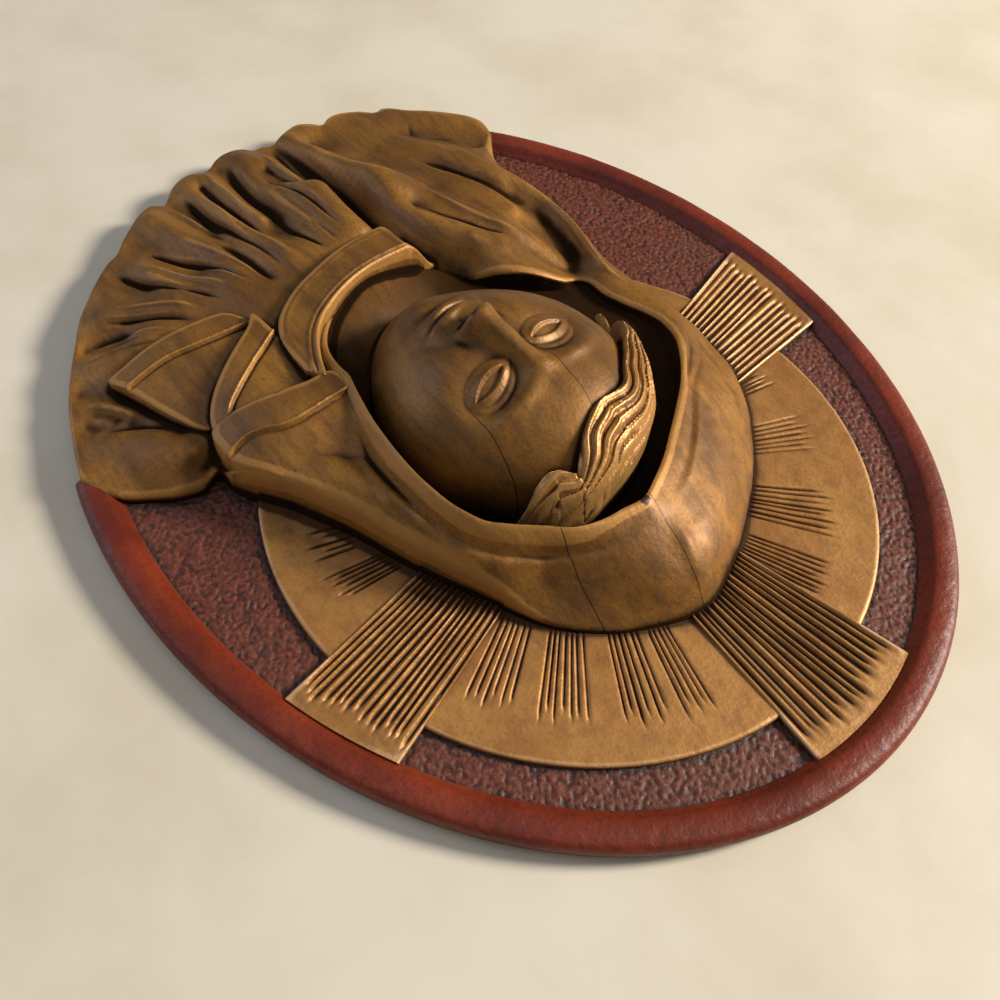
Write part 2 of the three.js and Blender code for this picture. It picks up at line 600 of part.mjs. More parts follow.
function haloSolid() {
  const circle = [];
  const count = 80;
  for (let k = 0; k < count; k++) {
    const a = (2 * Math.PI * k) / count;
    circle.push([haloCentre[0] + haloRadius * Math.cos(a), haloCentre[1] + haloRadius * Math.sin(a)]);
  }
  let halo = slab(circle, 0.8, haloHeight);
  const bed = slab(oval(rimWidth - 2.2, 100), 0, 20);
  for (const [first, last, near, far, lines] of rayGroups) {
    for (let k = 0; k < lines; k++) {
      const t = lines > 1 ? k / (lines - 1) : 0;
      const a = THREE.MathUtils.degToRad(first + (last - first) * t);
      const stretch = k % 2 ? -2.5 : 0;
      const point = (r) => [haloCentre[0] + r * Math.cos(a), haloCentre[1] + r * Math.sin(a), haloHeight];
      halo = halo.subtract(notch(point(near), point(far + stretch), grooveWidth * 0.85, rayDepth));
    }
  }
  for (const { inner, outer } of arms) {
    const block = slab([inner[0], outer[0], outer[1], inner[1]], 0.8, armHeight);
    let arm = block.intersect(bed);
    for (let k = 0; k < armGrooves; k++) {
      const t = (k + 0.7) / (armGrooves + 0.4);
      const near = [0, 1].map((c) => inner[0][c] + (inner[1][c] - inner[0][c]) * t);
      const far = [0, 1].map((c) => outer[0][c] + (outer[1][c] - outer[0][c]) * t);
      const length = Math.hypot(far[0] - near[0], far[1] - near[1]);
      const stop = 1 - (armPlainEnd + (k % 3)) / length;
      const end = [0, 1].map((c) => near[c] + (far[c] - near[c]) * stop);
      near.push(armHeight);
      end.push(armHeight);
      arm = arm.subtract(notch(near, end, grooveWidth, grooveDepth));
    }
    halo = halo.subtract(block).add(slope(arm, inner, outer));
  }
  return halo;
}

// Cloth on the bust
const within = smooth(openingEdge, 5);
const bustLine = [...along(veilFoot, 5), ...beyondEdge].map((p) => [p[0], p[1]]);
let bust = carve(cloth, bustLine, 8, fieldError);
bust = bust.subtract(slab(within, cavityFloor - 3, 95));

// The sheets with their hems
for (const { edge, points, hem } of sheets) {
  const plate = new Plate(points, 0.05);
  const line = smooth(edge, 3.4);
  bust = bust.add(carve((x, z) => plate.at(x, z), line, 4, 0.3));
  const low = Math.min(...edge.map((p) => p[1])) - 8;
  const below = [[hem.at(-1)[0] + 12, low], [hem[0][0] - 12, low]];
  const band = [...along(hem, 3.4), ...below].map((p) => [p[0], p[1]]);
  const raised = carve((x, z) => plate.at(x, z) + hemRise, line, 4, 0.3);
  bust = bust.add(raised.intersect(slab(band, 0, 90)));
}

// The collar band with its raised inner edge
const collarLine = [...along(collarInner, 3.4), ...along(collarOuter, 3.4)].map((p) => [p[0], p[1]]);
const collarTop = (x, z) => {
  const r = Math.hypot(x - 8, z + 8);
  return collarHeight - collarFall * clamp((-1 - x) / 14, 0, 1) - 0.14 * (r - 44);
};
bust = bust.add(carve(collarTop, collarLine, 4, 0.4));

// Head in the hood
const headTop = (x, z) => Math.max(face(x, z), hollow(x, z));
const around = within.map(([x, z]) => [x + (x + 6) * 0.025, z + (z - 10) * 0.025]);
bust = bust.add(carve(headTop, around, 7, faceError));
for (const line of [hairLeft, hairRight]) {
  bust = bust.add(carve(hair, smooth(line, 5), 5, hairError).intersect(slab(around, 0, 90)));
}

const outline = plaqueOutline();
let plaque = slab(oval(4, 60), 0, groundHeight);
plaque = plaque.add(rim()).add(haloSolid()).add(bust);
plaque = plaque.intersect(slab(outline, -1, 95));

// Out to three.js: across is X, up is Z, out of the wall is -Y
function toMesh(body, name, material) {
  const mesh = body.getMesh();
  const count = mesh.vertProperties.length / mesh.numProp;
  const positions = new Float32Array(count * 3);
  for (let k = 0; k < count; k++) {
    positions[3 * k] = mesh.vertProperties[k * mesh.numProp];
    positions[3 * k + 1] = -mesh.vertProperties[k * mesh.numProp + 2];
    positions[3 * k + 2] = mesh.vertProperties[k * mesh.numProp + 1];
  }
  const geometry = new THREE.BufferGeometry();
  geometry.setAttribute('position', new THREE.BufferAttribute(positions, 3));
  geometry.setIndex(new THREE.BufferAttribute(new Uint32Array(mesh.triVerts), 1));
  geometry.computeVertexNormals();
  const result = new THREE.Mesh(geometry, material);
  result.name = name;
  return result;
}

const wood = new THREE.MeshStandardMaterial({ name: 'gilded_wood', color: 0x9a6a28, roughness: 0.45 });
const group = new THREE.Group();
group.name = 'wall_plaque';
group.add(toMesh(plaque, 'carved_plaque', wood));

export default group;
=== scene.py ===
import math
import bpy
import numpy as np
from mathutils import Matrix, Vector


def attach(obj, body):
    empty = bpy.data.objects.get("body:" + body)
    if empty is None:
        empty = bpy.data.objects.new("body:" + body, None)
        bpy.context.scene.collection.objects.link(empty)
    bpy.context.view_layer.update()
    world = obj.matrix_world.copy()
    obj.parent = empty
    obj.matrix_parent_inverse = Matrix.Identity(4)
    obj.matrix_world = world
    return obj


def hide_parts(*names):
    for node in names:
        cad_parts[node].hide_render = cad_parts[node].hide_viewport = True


# Carved oval wall plaque, seen as photographed, lying on a pale surface.
# The shapes are worked out in millimetres: across (x), up (z) and out of the wall (w).
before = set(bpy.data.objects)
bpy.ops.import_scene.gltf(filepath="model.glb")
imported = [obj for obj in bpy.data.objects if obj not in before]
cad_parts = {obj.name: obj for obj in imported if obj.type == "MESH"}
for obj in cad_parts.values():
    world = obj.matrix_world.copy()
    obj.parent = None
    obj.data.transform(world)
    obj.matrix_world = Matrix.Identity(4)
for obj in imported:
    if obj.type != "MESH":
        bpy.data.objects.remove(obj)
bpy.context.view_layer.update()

# One millimetre, in the frame's metres
MM = 0.001

# Sizes and places of the parts, and their heights above the back
HALF_WIDTH = 130.0
HALF_HEIGHT = 160.0
GROUND = 3.6
HALO = 5.4
ARM = 6.6
ARM_FALL = 1.3
EDGE = 10.5
EDGE_DROP = 1.6
DOME = 17.0
HALO_CENTRE = np.array([1.5, 39.5])
HALO_RADIUS = 95.5
HEAD_CENTRE = np.array([8.5, 12.5])
HEAD_TILT = math.radians(14)
HEAD_HALF_WIDTH = 39.5
HEAD_HALF_HEIGHT = 47.0
HEAD_BASE = 15.0
HEAD_RISE = 32.0
HAIR_SPREAD = 7.5
TURN = 4.0
CAVITY = 11.0
COLLAR_CENTRE = (8.0, -8.0)
COLLAR_TOP = 29.0
COLLAR_FALL = 14.0
ARM_CUTS = 15
ARM_BED = 2.6
ARM_END = 10.3
GROUND_END = 10.4
BOARD_END = 0.8
SEAMS = (31.5, 3.7)
SEAM_FOOT = 20.0
BOARD_THICKNESS = 3.0
PIECE_FOOT = 1.2

scallops = [
  [-86.5, -114], [-88, -120], [-86.5, -126], [-81, -133], [-74, -139.5], [-67, -144], [-62, -149],
  [-58, -151], [-54.5, -150], [-49, -154.5], [-40.5, -157.5], [-36, -157], [-31.5, -154.5], [-28, -157.5],
  [-22.5, -160], [-17, -158.5], [-11, -155], [-7.5, -153], [-3, -154], [1, -153.5], [3.5, -156.5],
  [9, -158], [15, -156.5], [20.5, -152.5], [24, -151.3], [29, -152.8], [34, -151.5], [38.5, -148.5],
  [42, -144.5], [45, -141.8], [49, -144], [54, -142], [60, -137.3], [66, -131.5], [71, -126],
  [75, -123.8], [80, -119.5], [85, -114.5], [90, -109], [95, -103], [100, -95], [106, -85],
  [111, -76], [115.5, -66], [120, -53], [123.5, -41],
]

veil_foot = [
  [123.5, -39], [121, -33.5], [116.5, -29], [110, -24.5], [103, -20.5], [96.5, -19], [90, -20.5],
  [88.5, -14], [85, -6.5], [79.5, 1.5], [75, 10], [70, 20], [65.5, 32], [62, 41], [57, 52], [51, 63.5],
  [44.5, 75.5], [36.5, 84.5], [28, 91], [18, 95.8], [8, 99.4], [0, 99.8], [-10, 96.5], [-22, 90.5],
  [-33, 83], [-44, 75], [-54, 66], [-62, 57], [-68, 47], [-72.5, 36], [-74, 22], [-74.5, 8],
  [-73, -4], [-71.5, -16], [-71, -25], [-73, -34], [-75.5, -45], [-77, -58], [-77, -69], [-75.5, -80],
  [-74, -90], [-75.5, -97], [-80.5, -105], [-86.5, -113],
]

opening_edge = [
  [6, 70.5], [13, 70], [20.5, 69.3], [28, 67], [35.5, 61.5], [42, 56.3], [47, 51.2], [50.3, 44.5],
  [52.2, 36], [53.2, 26], [52.8, 15], [51.6, 5], [49.6, -4], [47, -14], [46.5, -19], [44, -30],
  [38, -39], [30, -45.5], [20, -49], [8, -51], [-5, -51.5], [-11, -50.3], [-16, -46], [-21.5, -39],
  [-28, -33], [-35, -28], [-41, -24], [-46.5, -21.5], [-52, -21.3], [-54.5, -17.5], [-54.5, -10],
  [-56.5, -2], [-59.3, 6], [-60, 13], [-56.8, 22], [-50, 31],
  [-41, 40], [-30, 48.5], [-18, 57], [-10, 62.5], [-1, 67.5],
]

height_lines = [
  [[-71, 40, 8], [-66, 50, 7], [-56, 63, 6], [-44, 75, 6], [-33, 83, 6], [-22, 90, 6], [-10, 96, 6],
    [2, 100, 6], [15, 97, 6], [28, 91, 6], [37, 84, 6.5], [45, 75, 8.5]],
  [[-60, 50, 11.5], [-42, 68, 12.5], [-22, 83.5, 14], [-3, 93, 14.8], [12, 92, 14.5], [26, 84.5, 12.5]],
  [[-66, 28, 13], [-54, 46, 16], [-38, 60, 19], [-24, 71, 20.5], [-10, 79, 22], [5, 83.5, 22], [18, 80.5, 21],
    [29, 75.5, 18.5], [38, 67.5, 19]],
  [[51, 63, 14], [56, 53.5, 16.5], [61, 41.5, 18.5], [64.5, 32, 19.5], [69, 20, 20.5], [74, 9, 21],
    [79.5, 0, 20.5], [85, -9, 19]],
  [[6, 72, 29], [12, 71.5, 28.6], [20, 71, 28], [28, 69, 27.5], [36, 63.5, 27.5], [43, 58, 27.8],
    [48, 52.5, 28.3], [51.5, 46, 29], [53.5, 37, 29.8], [54.7, 26, 30.4], [54.3, 15, 30.6], [53, 5, 30.6],
    [51, -4, 30.3], [48.5, -14, 29.5]],
  [[6, 72, 29], [-1, 69, 28.6], [-10, 64, 28], [-18, 58.5, 27], [-30, 50, 25.2], [-41, 41.5, 23.2],
    [-50, 32.5, 21], [-58.5, 24, 18.6], [-65.5, 15.5, 16.5], [-69, 7, 15.3], [-67, -1, 15.3],
    [-61.5, -8, 16], [-59, -15, 16.3], [-61, -23, 16], [-65.5, -31, 15.6], [-69, -42, 15.3],
    [-71, -55, 15], [-71.5, -68, 15], [-70.5, -80, 14.6], [-69.5, -90, 14], [-72, -97, 13], [-77, -104, 12]],
  [[57.5, 38, 25.5], [58.5, 22, 25.5], [57.5, 5, 24.5]],
  [[62, 28, 24], [65.5, 12, 24.5], [70, 0, 23]],
  [[55, -12, 22.5], [54.5, -35, 22.5], [53, -58, 22.5]],
  [[-74, 12, 9.5], [-72.5, -8, 9.5], [-71.3, -25, 9.5], [-75.5, -45, 9], [-77, -62, 9], [-75.5, -80, 9],
    [-75, -94, 9], [-82, -106, 9]],
  [[-57, -26, 11.5], [-61, -36, 10.5], [-64, -48, 10], [-65, -60, 10.6], [-65, -71, 12]],
  [[-54.8, -18, 14], [-55, -10, 14.8], [-57, -2, 15], [-59.8, 6, 15.4], [-60.5, 13, 16.6],
    [-57.3, 22.5, 18.6]],
  [[-50.5, -23.5, 13.5], [-44.5, -29, 17], [-38, -34.5, 20.5], [-32, -41, 23.5]],
  [[-51.5, -28.5, 12.5], [-48.5, -34.5, 15], [-44.5, -41, 18.5]],
  [[-54.5, -30, 13], [-52, -37, 16], [-48, -45, 19.5]],
  [[-20, -42, 15], [-15.5, -50, 14.5], [-10.5, -61, 15], [-7, -72, 15.5], [-7, -90, 13.5], [-8.4, -110, 12],
    [-9, -132, 10], [-8, -150, 8.6]],
  [[92, -22, 8.5], [98, -20.5, 8.5], [104, -22, 8], [111, -26, 7.5], [117, -30.5, 7.5], [122, -36, 7.5]],
]

fold_lines = [
  [0, [-27, -48], [-21, -61], [-16, -78], [-13, -95], [-12.5, -116],
    [-12.7, -137], [-13.5, -153]],
  [3, [-40, -47], [-34, -56], [-29, -66], [-23, -78]],
  [1.8, [-43, -52], [-40, -57], [-36, -66], [-33, -78], [-33.5, -89]],
  [5.8, [-50, -50], [-48, -57], [-44, -67.5], [-40, -80], [-38, -90]],
  [5.2, [-57, -62], [-52, -77], [-45, -95], [-36, -111], [-28, -127], [-21, -144]],
  [1.6, [-66, -84], [-64.5, -97], [-59.5, -109], [-53, -119], [-46.5, -129], [-40, -139], [-35, -148]],
  [4.4, [-74.5, -106], [-69, -116], [-64, -124.5], [-58, -130]],
  [-0.6, [-83, -119], [-75, -128], [-66, -136], [-58, -143]],
  [1, [-30, -100], [-24, -112], [-18, -128]],
  [0.4, [0, -73], [-1.5, -90], [-4, -107]],
  [3.2, [-2, -113], [-1.5, -128], [-2, -143]],
  [0.8, [2, -114], [3.5, -125], [2, -140]],
  [2.8, [7, -122], [6.5, -134]],
  [0, [13, -72], [15, -86], [15.5, -105], [14.5, -125], [11.5, -140], [9, -150]],
  [3.6, [21, -91], [20.5, -105], [20, -125], [19.5, -140], [18.5, -149]],
  [0.6, [24.5, -103], [25.7, -113], [26, -124], [25.5, -136], [25, -146]],
  [2.8, [28.5, -97], [30, -110], [30.2, -125], [30, -140]],
  [0.2, [29, -76], [33, -87], [34, -102], [35, -116], [35, -130], [33.5, -144]],
  [3.2, [39.5, -74], [40, -90], [38, -106], [39.5, -124], [41.5, -137]],
  [0.2, [45, -70], [46, -85], [47.5, -100], [50, -118], [52, -135]],
  [3.2, [53.5, -94], [56.5, -105], [60, -118], [64.5, -127]],
  [0.4, [59, -76], [64, -90], [68.5, -102], [69.5, -111]],
  [2.6, [73, -98], [75.5, -112]],
  [2.6, [62, -66], [75, -69], [88, -69], [99, -67]],
  [2.8, [63, -40], [82, -35]],
  [0.8, [80, -82], [83, -95], [87, -104]],
  [0.6, [86, -75], [95, -78.5], [104, -81]],
  [4, [88, -84.5], [95, -87], [100, -88.5]],
  [0.6, [87, -90.5], [92, -94.5], [97, -98]],
  [5, [92.5, -36], [96.5, -48], [100.5, -60]],
  [3.2, [93, -26], [99, -27.5], [107, -32], [114, -38]],
  [2.4, [98, -38], [106, -46], [114, -52]],
  [4.6, [100, -47], [106, -54], [113, -59]],
  [1.6, [102, -52], [107, -60], [113, -66]],
  [3.4, [105, -66], [110, -72]],
]

collar_inner = [
  [-17, -54], [-11, -52.7], [-5, -52], [0, -51.8], [8, -51.3], [15, -50.4], [22, -48.6], [28, -46.2],
  [34, -43], [39, -39.6], [43.5, -35], [47, -29.5], [50, -23], [52, -17],
]

collar_outer = [
  [55.5, -24], [55.3, -33], [54, -41], [50.5, -48], [45, -53.3], [38, -58], [30, -61.8], [22, -65],
  [13, -67.6], [4, -68.8], [-5, -69.4], [-12, -70],
]

hair_left = [
  [19.5, 63], [9, 62], [-1, 59.4], [-10.6, 55], [-19, 49], [-25, 42], [-30.5, 33], [-36.5, 21], [-42, 9],
  [-45.5, 1], [-44.5, -2.5], [-41.5, 2], [-37.5, 11], [-30.5, 21], [-21.5, 30], [-14.5, 36.5], [-10, 40.6],
  [-3.6, 42.6], [3, 43.4], [8.5, 46.6], [13.5, 50.8], [18.5, 57],
]
hair_right = [
  [18.5, 63], [25, 62.4], [32, 61], [38, 58], [42.5, 54.5], [44.5, 51], [42, 51.2], [38.5, 52.4], [33.9, 53],
  [28.5, 51.4], [23.5, 51.4], [19.5, 55],
]

arms = [
  { "inner": [[8, 96], [-19, 92]], "outer": [[11.6, 152], [-34.6, 146]] },
  { "inner": [[50, 66], [60, 42]], "outer": [[104, 87], [120, 54.5]] },
  { "inner": [[-66, 44.5], [-76, 8.5]], "outer": [[-120, 37.5], [-120, -6.5]] },
]

ray_groups = [
  [-19, -12.5, 70, 86, 5], [-8, -2, 62, 86.5, 6], [29.5, 37.5, 56, 86, 6], [43, 52, 56, 87, 7],
  [59, 67, 56, 87, 6], [70.5, 76, 58, 88.5, 5], [111, 119.5, 56, 86, 7], [127, 139, 54, 85, 8],
  [151.5, 161.5, 56, 85, 7], [172.5, 176.5, 64, 85, 4],
]

sheets = [
  {
    "edge": [[52, 34], [60, 32], [67, 24], [71, 15], [76, 7], [81.5, -2], [87, -11], [88.3, -19], [87, -25.5],
      [80, -25.3], [75, -24], [70, -22.5], [64, -21], [58, -19.8], [50, -19], [49, -14], [51, -2], [54, 15]],
    "points": [[57, 30, 22], [66, 24, 20], [70, 13, 19], [52, -10, 28.6], [60, -10, 28.4], [68, -9.5, 27.6],
      [76, -13, 25.6], [84, -15, 21.5], [52, -19, 28.4], [60, -20, 28], [70, -22.5, 26.8], [79, -25, 24],
      [86.5, -25.5, 20], [77, 4, 20], [60, 5, 25]],
    "hem": [[47, -10], [56, -9.6], [62, -9], [68, -9], [73, -10.6], [77, -13.2], [82, -15.2], [92, -14]],
  },
  {
    "edge": [[50, -12], [84, -14], [86.5, -20], [86.3, -27], [84, -32], [80, -36.7], [75, -41], [70, -44.8],
      [64, -49], [58.5, -53.2], [55, -57.5], [53.6, -47], [54.4, -33], [52, -21]],
    "points": [[54, -16, 23.5], [70, -16, 22.5], [84, -18, 18.5], [55.5, -45, 25.4], [65, -38, 25.4],
      [75, -31, 24], [82, -26, 21.5], [55, -57, 24.6], [64, -49, 24.6], [75, -41, 23.2], [84, -32, 20]],
    "hem": [[50, -48], [56, -44], [60, -41.2], [65, -38], [70, -34.6], [75, -31.2], [79, -28.2], [82, -24],
      [86, -14]],
  },
  {
    "edge": [[56, -38], [85, -28], [89, -31.5], [91.5, -37], [94, -44], [96.5, -52], [99, -60], [101, -66.5],
      [95, -67.8], [88, -69], [81, -69.3], [75, -68.8], [67, -67.6], [61, -66], [57.5, -61], [55.5, -54]],
    "points": [[60, -38, 21], [87, -31, 17.5], [62, -56.5, 22.2], [75, -58.5, 20.8], [88, -59.5, 18.4],
      [98, -58.5, 15.6], [61, -66, 21.4], [75, -69, 19.6], [88, -69, 17], [100, -67, 13.8], [92, -37, 16.6],
      [96, -50, 15.8]],
    "hem": [[54, -55.5], [62, -56.6], [68, -57.3], [75, -58.3], [82, -59.5], [89, -59.6], [104, -58.2]],
  },
]


# Curves
def curve(points, step, closed=False):
    """Evenly spaced points on a smooth line through the given points."""
    p = np.array([list(q) + [0.0] * (3 - len(q)) for q in points], float)
    if closed:
        ext = np.vstack((p[-1], p, p[0], p[1]))
    else:
        ext = np.vstack((2 * p[0] - p[1], p, 2 * p[-1] - p[-2]))
    s = np.linspace(0, 1, 16, endpoint=False)[:, None]
    parts = []
    for a, b, c, d in zip(ext[:-3], ext[1:-2], ext[2:-1], ext[3:]):
        da, db, dc = [max(1e-4, np.linalg.norm(k)) ** 0.5 for k in (b - a, c - b, d - c)]
        t1 = ((b - a) / da - (c - a) / (da + db) + (c - b) / db) * db
        t2 = ((c - b) / db - (d - b) / (db + dc) + (d - c) / dc) * db
        parts.append(b + t1 * s + (3 * (c - b) - 2 * t1 - t2) * s**2 + (2 * (b - c) + t1 + t2) * s**3)
    line = np.vstack(parts + [ext[-2]])
    lengths = np.concatenate(([0], np.cumsum(np.linalg.norm(np.diff(line, axis=0), axis=1))))
    count = max(2, int(round(lengths[-1] / step)))
    at = np.linspace(0, lengths[-1], count + 1)
    if closed:
        at = at[:-1]
    return np.column_stack([np.interp(at, lengths, line[:, k]) for k in range(3)])


def ellipse(inset, count=720):
    a = np.linspace(0, 2 * np.pi, count, endpoint=False)
    return np.column_stack(((HALF_WIDTH - inset) * np.cos(a), (HALF_HEIGHT - inset) * np.sin(a)))


def outline(points, closed=False):
    """The smooth line through the points, seen flat."""
    return curve(points, 0.6, closed)[:, :2]


def off_line(x, z, line, reach):
    """Distance from each point to an open line and how far along it lies, or reach where it is further."""
    shape = x.shape
    x, z = x.ravel(), z.ravel()
    line = np.asarray(line)[:, :2]
    near = np.full(x.shape, float(reach))
    along = np.zeros(x.shape)
    side = np.zeros(x.shape)
    lo, hi = line.min(0) - reach, line.max(0) + reach
    pick = np.flatnonzero((x > lo[0]) & (x < hi[0]) & (z > lo[1]) & (z < hi[1]))
    if len(pick) == 0:
        return near.reshape(shape), along.reshape(shape), side.reshape(shape)
    px, pz = x[pick], z[pick]
    best = np.full(len(pick), float(reach))
    place = np.zeros(len(pick))
    hand = np.zeros(len(pick))
    start = 0.0
    for a, b in zip(line[:-1], line[1:]):
        d = b - a
        length = max(1e-9, np.hypot(*d))
        t = np.clip(((px - a[0]) * d[0] + (pz - a[1]) * d[1]) / length**2, 0, 1)
        ex, ez = px - a[0] - t * d[0], pz - a[1] - t * d[1]
        dist = np.hypot(ex, ez)
        closer = dist < best
        best[closer] = dist[closer]
        place[closer] = start + t[closer] * length
        hand[closer] = (d[0] * ez - d[1] * ex)[closer]
        start += length
    near[pick], along[pick], side[pick] = best, place, hand
    return near.reshape(shape), along.reshape(shape), side.reshape(shape)


def to_rings(x, z, rings):
    """Nearest point of the closed rings for each point, and its distance."""
    best = np.full(x.shape, 1e9)
    bx, bz = x.copy(), z.copy()
    for ring in rings:
        a, b = ring, np.roll(ring, -1, 0)
        d = b - a
        length = np.maximum(1e-12, (d**2).sum(1))
        for low in range(0, len(x), 400):
            cx, cz = x[low:low + 400, None], z[low:low + 400, None]
            t = np.clip(((cx - a[:, 0]) * d[:, 0] + (cz - a[:, 1]) * d[:, 1]) / length, 0, 1)
            nx, nz = a[:, 0] + t * d[:, 0], a[:, 1] + t * d[:, 1]
            dist = np.hypot(cx - nx, cz - nz)
            k = dist.argmin(1)
            rows = np.arange(len(k))
            found = dist[rows, k]
            part = slice(low, low + 400)
            closer = found < best[part]
            best[part] = np.where(closer, found, best[part])
            bx[part] = np.where(closer, nx[rows, k], bx[part])
            bz[part] = np.where(closer, nz[rows, k], bz[part])
    return bx, bz, best


def inside(rings, x0, z0, step, nx, nz):
    """Which points of a grid lie inside the closed rings."""
    toggles = np.zeros((nz, nx + 1), int)
    for ring in rings:
        for (ax, az), (bx, bz) in zip(ring, np.roll(ring, -1, 0)):
            if az == bz:
                continue
            j0 = max(0, math.ceil((min(az, bz) - z0) / step))
            j1 = min(nz, math.ceil((max(az, bz) - z0) / step))
            if j1 <= j0:
                continue
            rows = np.arange(j0, j1)
            cross = ax + (z0 + rows * step - az) * (bx - ax) / (bz - az)
            cols = np.clip(np.ceil((cross - x0) / step), 0, nx).astype(int)
            np.add.at(toggles, (rows, cols), 1)
    return (np.cumsum(toggles[:, :nx], axis=1) % 2).astype(bool)


# Surfaces
class Plate:
    """Thin-plate surface through points with heights."""

    def __init__(self, points, slack):
        p = np.array(points, float)
        n = len(p)
        system = np.zeros((n + 3, n + 3))
        system[:n, :n] = self.kernel(p[:, None, 0] - p[None, :, 0], p[:, None, 1] - p[None, :, 1])
        system[np.arange(n), np.arange(n)] += slack
        basis = np.column_stack((np.ones(n), p[:, 0], p[:, 1]))
        system[:n, n:] = basis
        system[n:, :n] = basis.T
        self.points = p
        self.weights = np.linalg.solve(system, np.concatenate((p[:, 2], np.zeros(3))))

    @staticmethod
    def kernel(dx, dz):
        d = (dx**2 + dz**2) / 400
        return np.where(d > 0, d * np.log(np.maximum(d, 1e-300)), 0)

    def __call__(self, x, z):
        shape = np.shape(x)
        x, z = np.ravel(x), np.ravel(z)
        n = len(self.points)
        out = self.weights[n] + self.weights[n + 1] * x + self.weights[n + 2] * z
        for low in range(0, len(x), 4000):
            part = slice(low, low + 4000)
            dx = x[part, None] - self.points[:, 0]
            dz = z[part, None] - self.points[:, 1]
            out[part] += self.kernel(dx, dz) @ self.weights[:n]
        return out.reshape(shape)


class Map:
    """Values on an even grid, read in between by smooth curves."""

    def __init__(self, x0, z0, step, values):
        self.x0, self.z0, self.step, self.values = x0, z0, step, values

    @staticmethod
    def weights(t):
        return (
            ((2 - t) * t - 1) * t / 2,
            ((3 * t - 5) * t * t + 2) / 2,
            ((4 - 3 * t) * t + 1) * t / 2,
            (t - 1) * t * t / 2,
        )

    def __call__(self, x, z):
        v = self.values
        fx, fz = (x - self.x0) / self.step, (z - self.z0) / self.step
        i = np.clip(np.floor(fx).astype(int), 1, v.shape[1] - 3)
        j = np.clip(np.floor(fz).astype(int), 1, v.shape[0] - 3)
        wx, wz = self.weights(np.clip(fx - i, 0, 1)), self.weights(np.clip(fz - j, 0, 1))
        out = 0
        for b in range(4):
            out = out + wz[b] * sum(wx[a] * v[j + b - 1, i + a - 1] for a in range(4))
        return out


class Noise(Map):
    """Smooth random values between -1 and 1, one to each cell."""

    def __init__(self, cell, seed):
        r = np.random.RandomState(seed)
        count = int(360 / cell) + 4
        super().__init__(-180, -180, cell, r.rand(count, count) * 2 - 1)


def bump(d):
    return np.exp(-d * d)


def ease(v, low, high):
    t = np.clip((v - low) / (high - low), 0, 1)
    return t * t * (3 - 2 * t)


def blur(values, sigma):
    """Gaussian blur of a grid, sigma in cells."""
    pad = int(sigma * 3) + 1
    padded = np.pad(values, pad, mode="edge")
    fz = np.fft.fftfreq(padded.shape[0])[:, None]
    fx = np.fft.rfftfreq(padded.shape[1])[None, :]
    kernel = np.exp(-2 * (np.pi * sigma) ** 2 * (fx**2 + fz**2))
    out = np.fft.irfft2(np.fft.rfft2(padded) * kernel, s=padded.shape)
    return out[pad:-pad, pad:-pad]


def dome(x, z):
    e = np.minimum(1.02, np.hypot(x / 125, z / 157))
    return EDGE + DOME * (1 - e**2.2)


# Whole plaque map at 0.5 mm
CELL = 0.5
X0, Z0 = -134.0, -164.0
NX, NZ = 537, 657
GX, GZ = np.meshgrid(X0 + CELL * np.arange(NX), Z0 + CELL * np.arange(NZ))


def on_map(rings):
    return inside(rings, X0, Z0, CELL, NX, NZ)


def as_map(values, blur_mm=0.0):
    """Values on the plaque's grid as a map, blurred over some millimetres."""
    values = values.astype(float)
    return Map(X0, Z0, CELL, blur(values, blur_mm / CELL) if blur_mm else values)


# Cloth
cloth_points = []
for line in height_lines:
    cloth_points.extend(curve(line, 4))
for depth, *line in fold_lines:
    for x, z, _ in curve(line, 4):
        cloth_points.append([x, z, dome(x, z) - depth])
for x, z, _ in curve(scallops, 4):
    cloth_points.append([x, z, EDGE - EDGE_DROP])
plate = Plate(cloth_points, slack=0.02)
coarse_x, coarse_z = np.meshgrid(np.arange(-100, 137.0), np.arange(-164, 110.0))
coarse = Map(-100, -164, 1.0, plate(coarse_x, coarse_z))
cloth_values = coarse(GX, GZ)

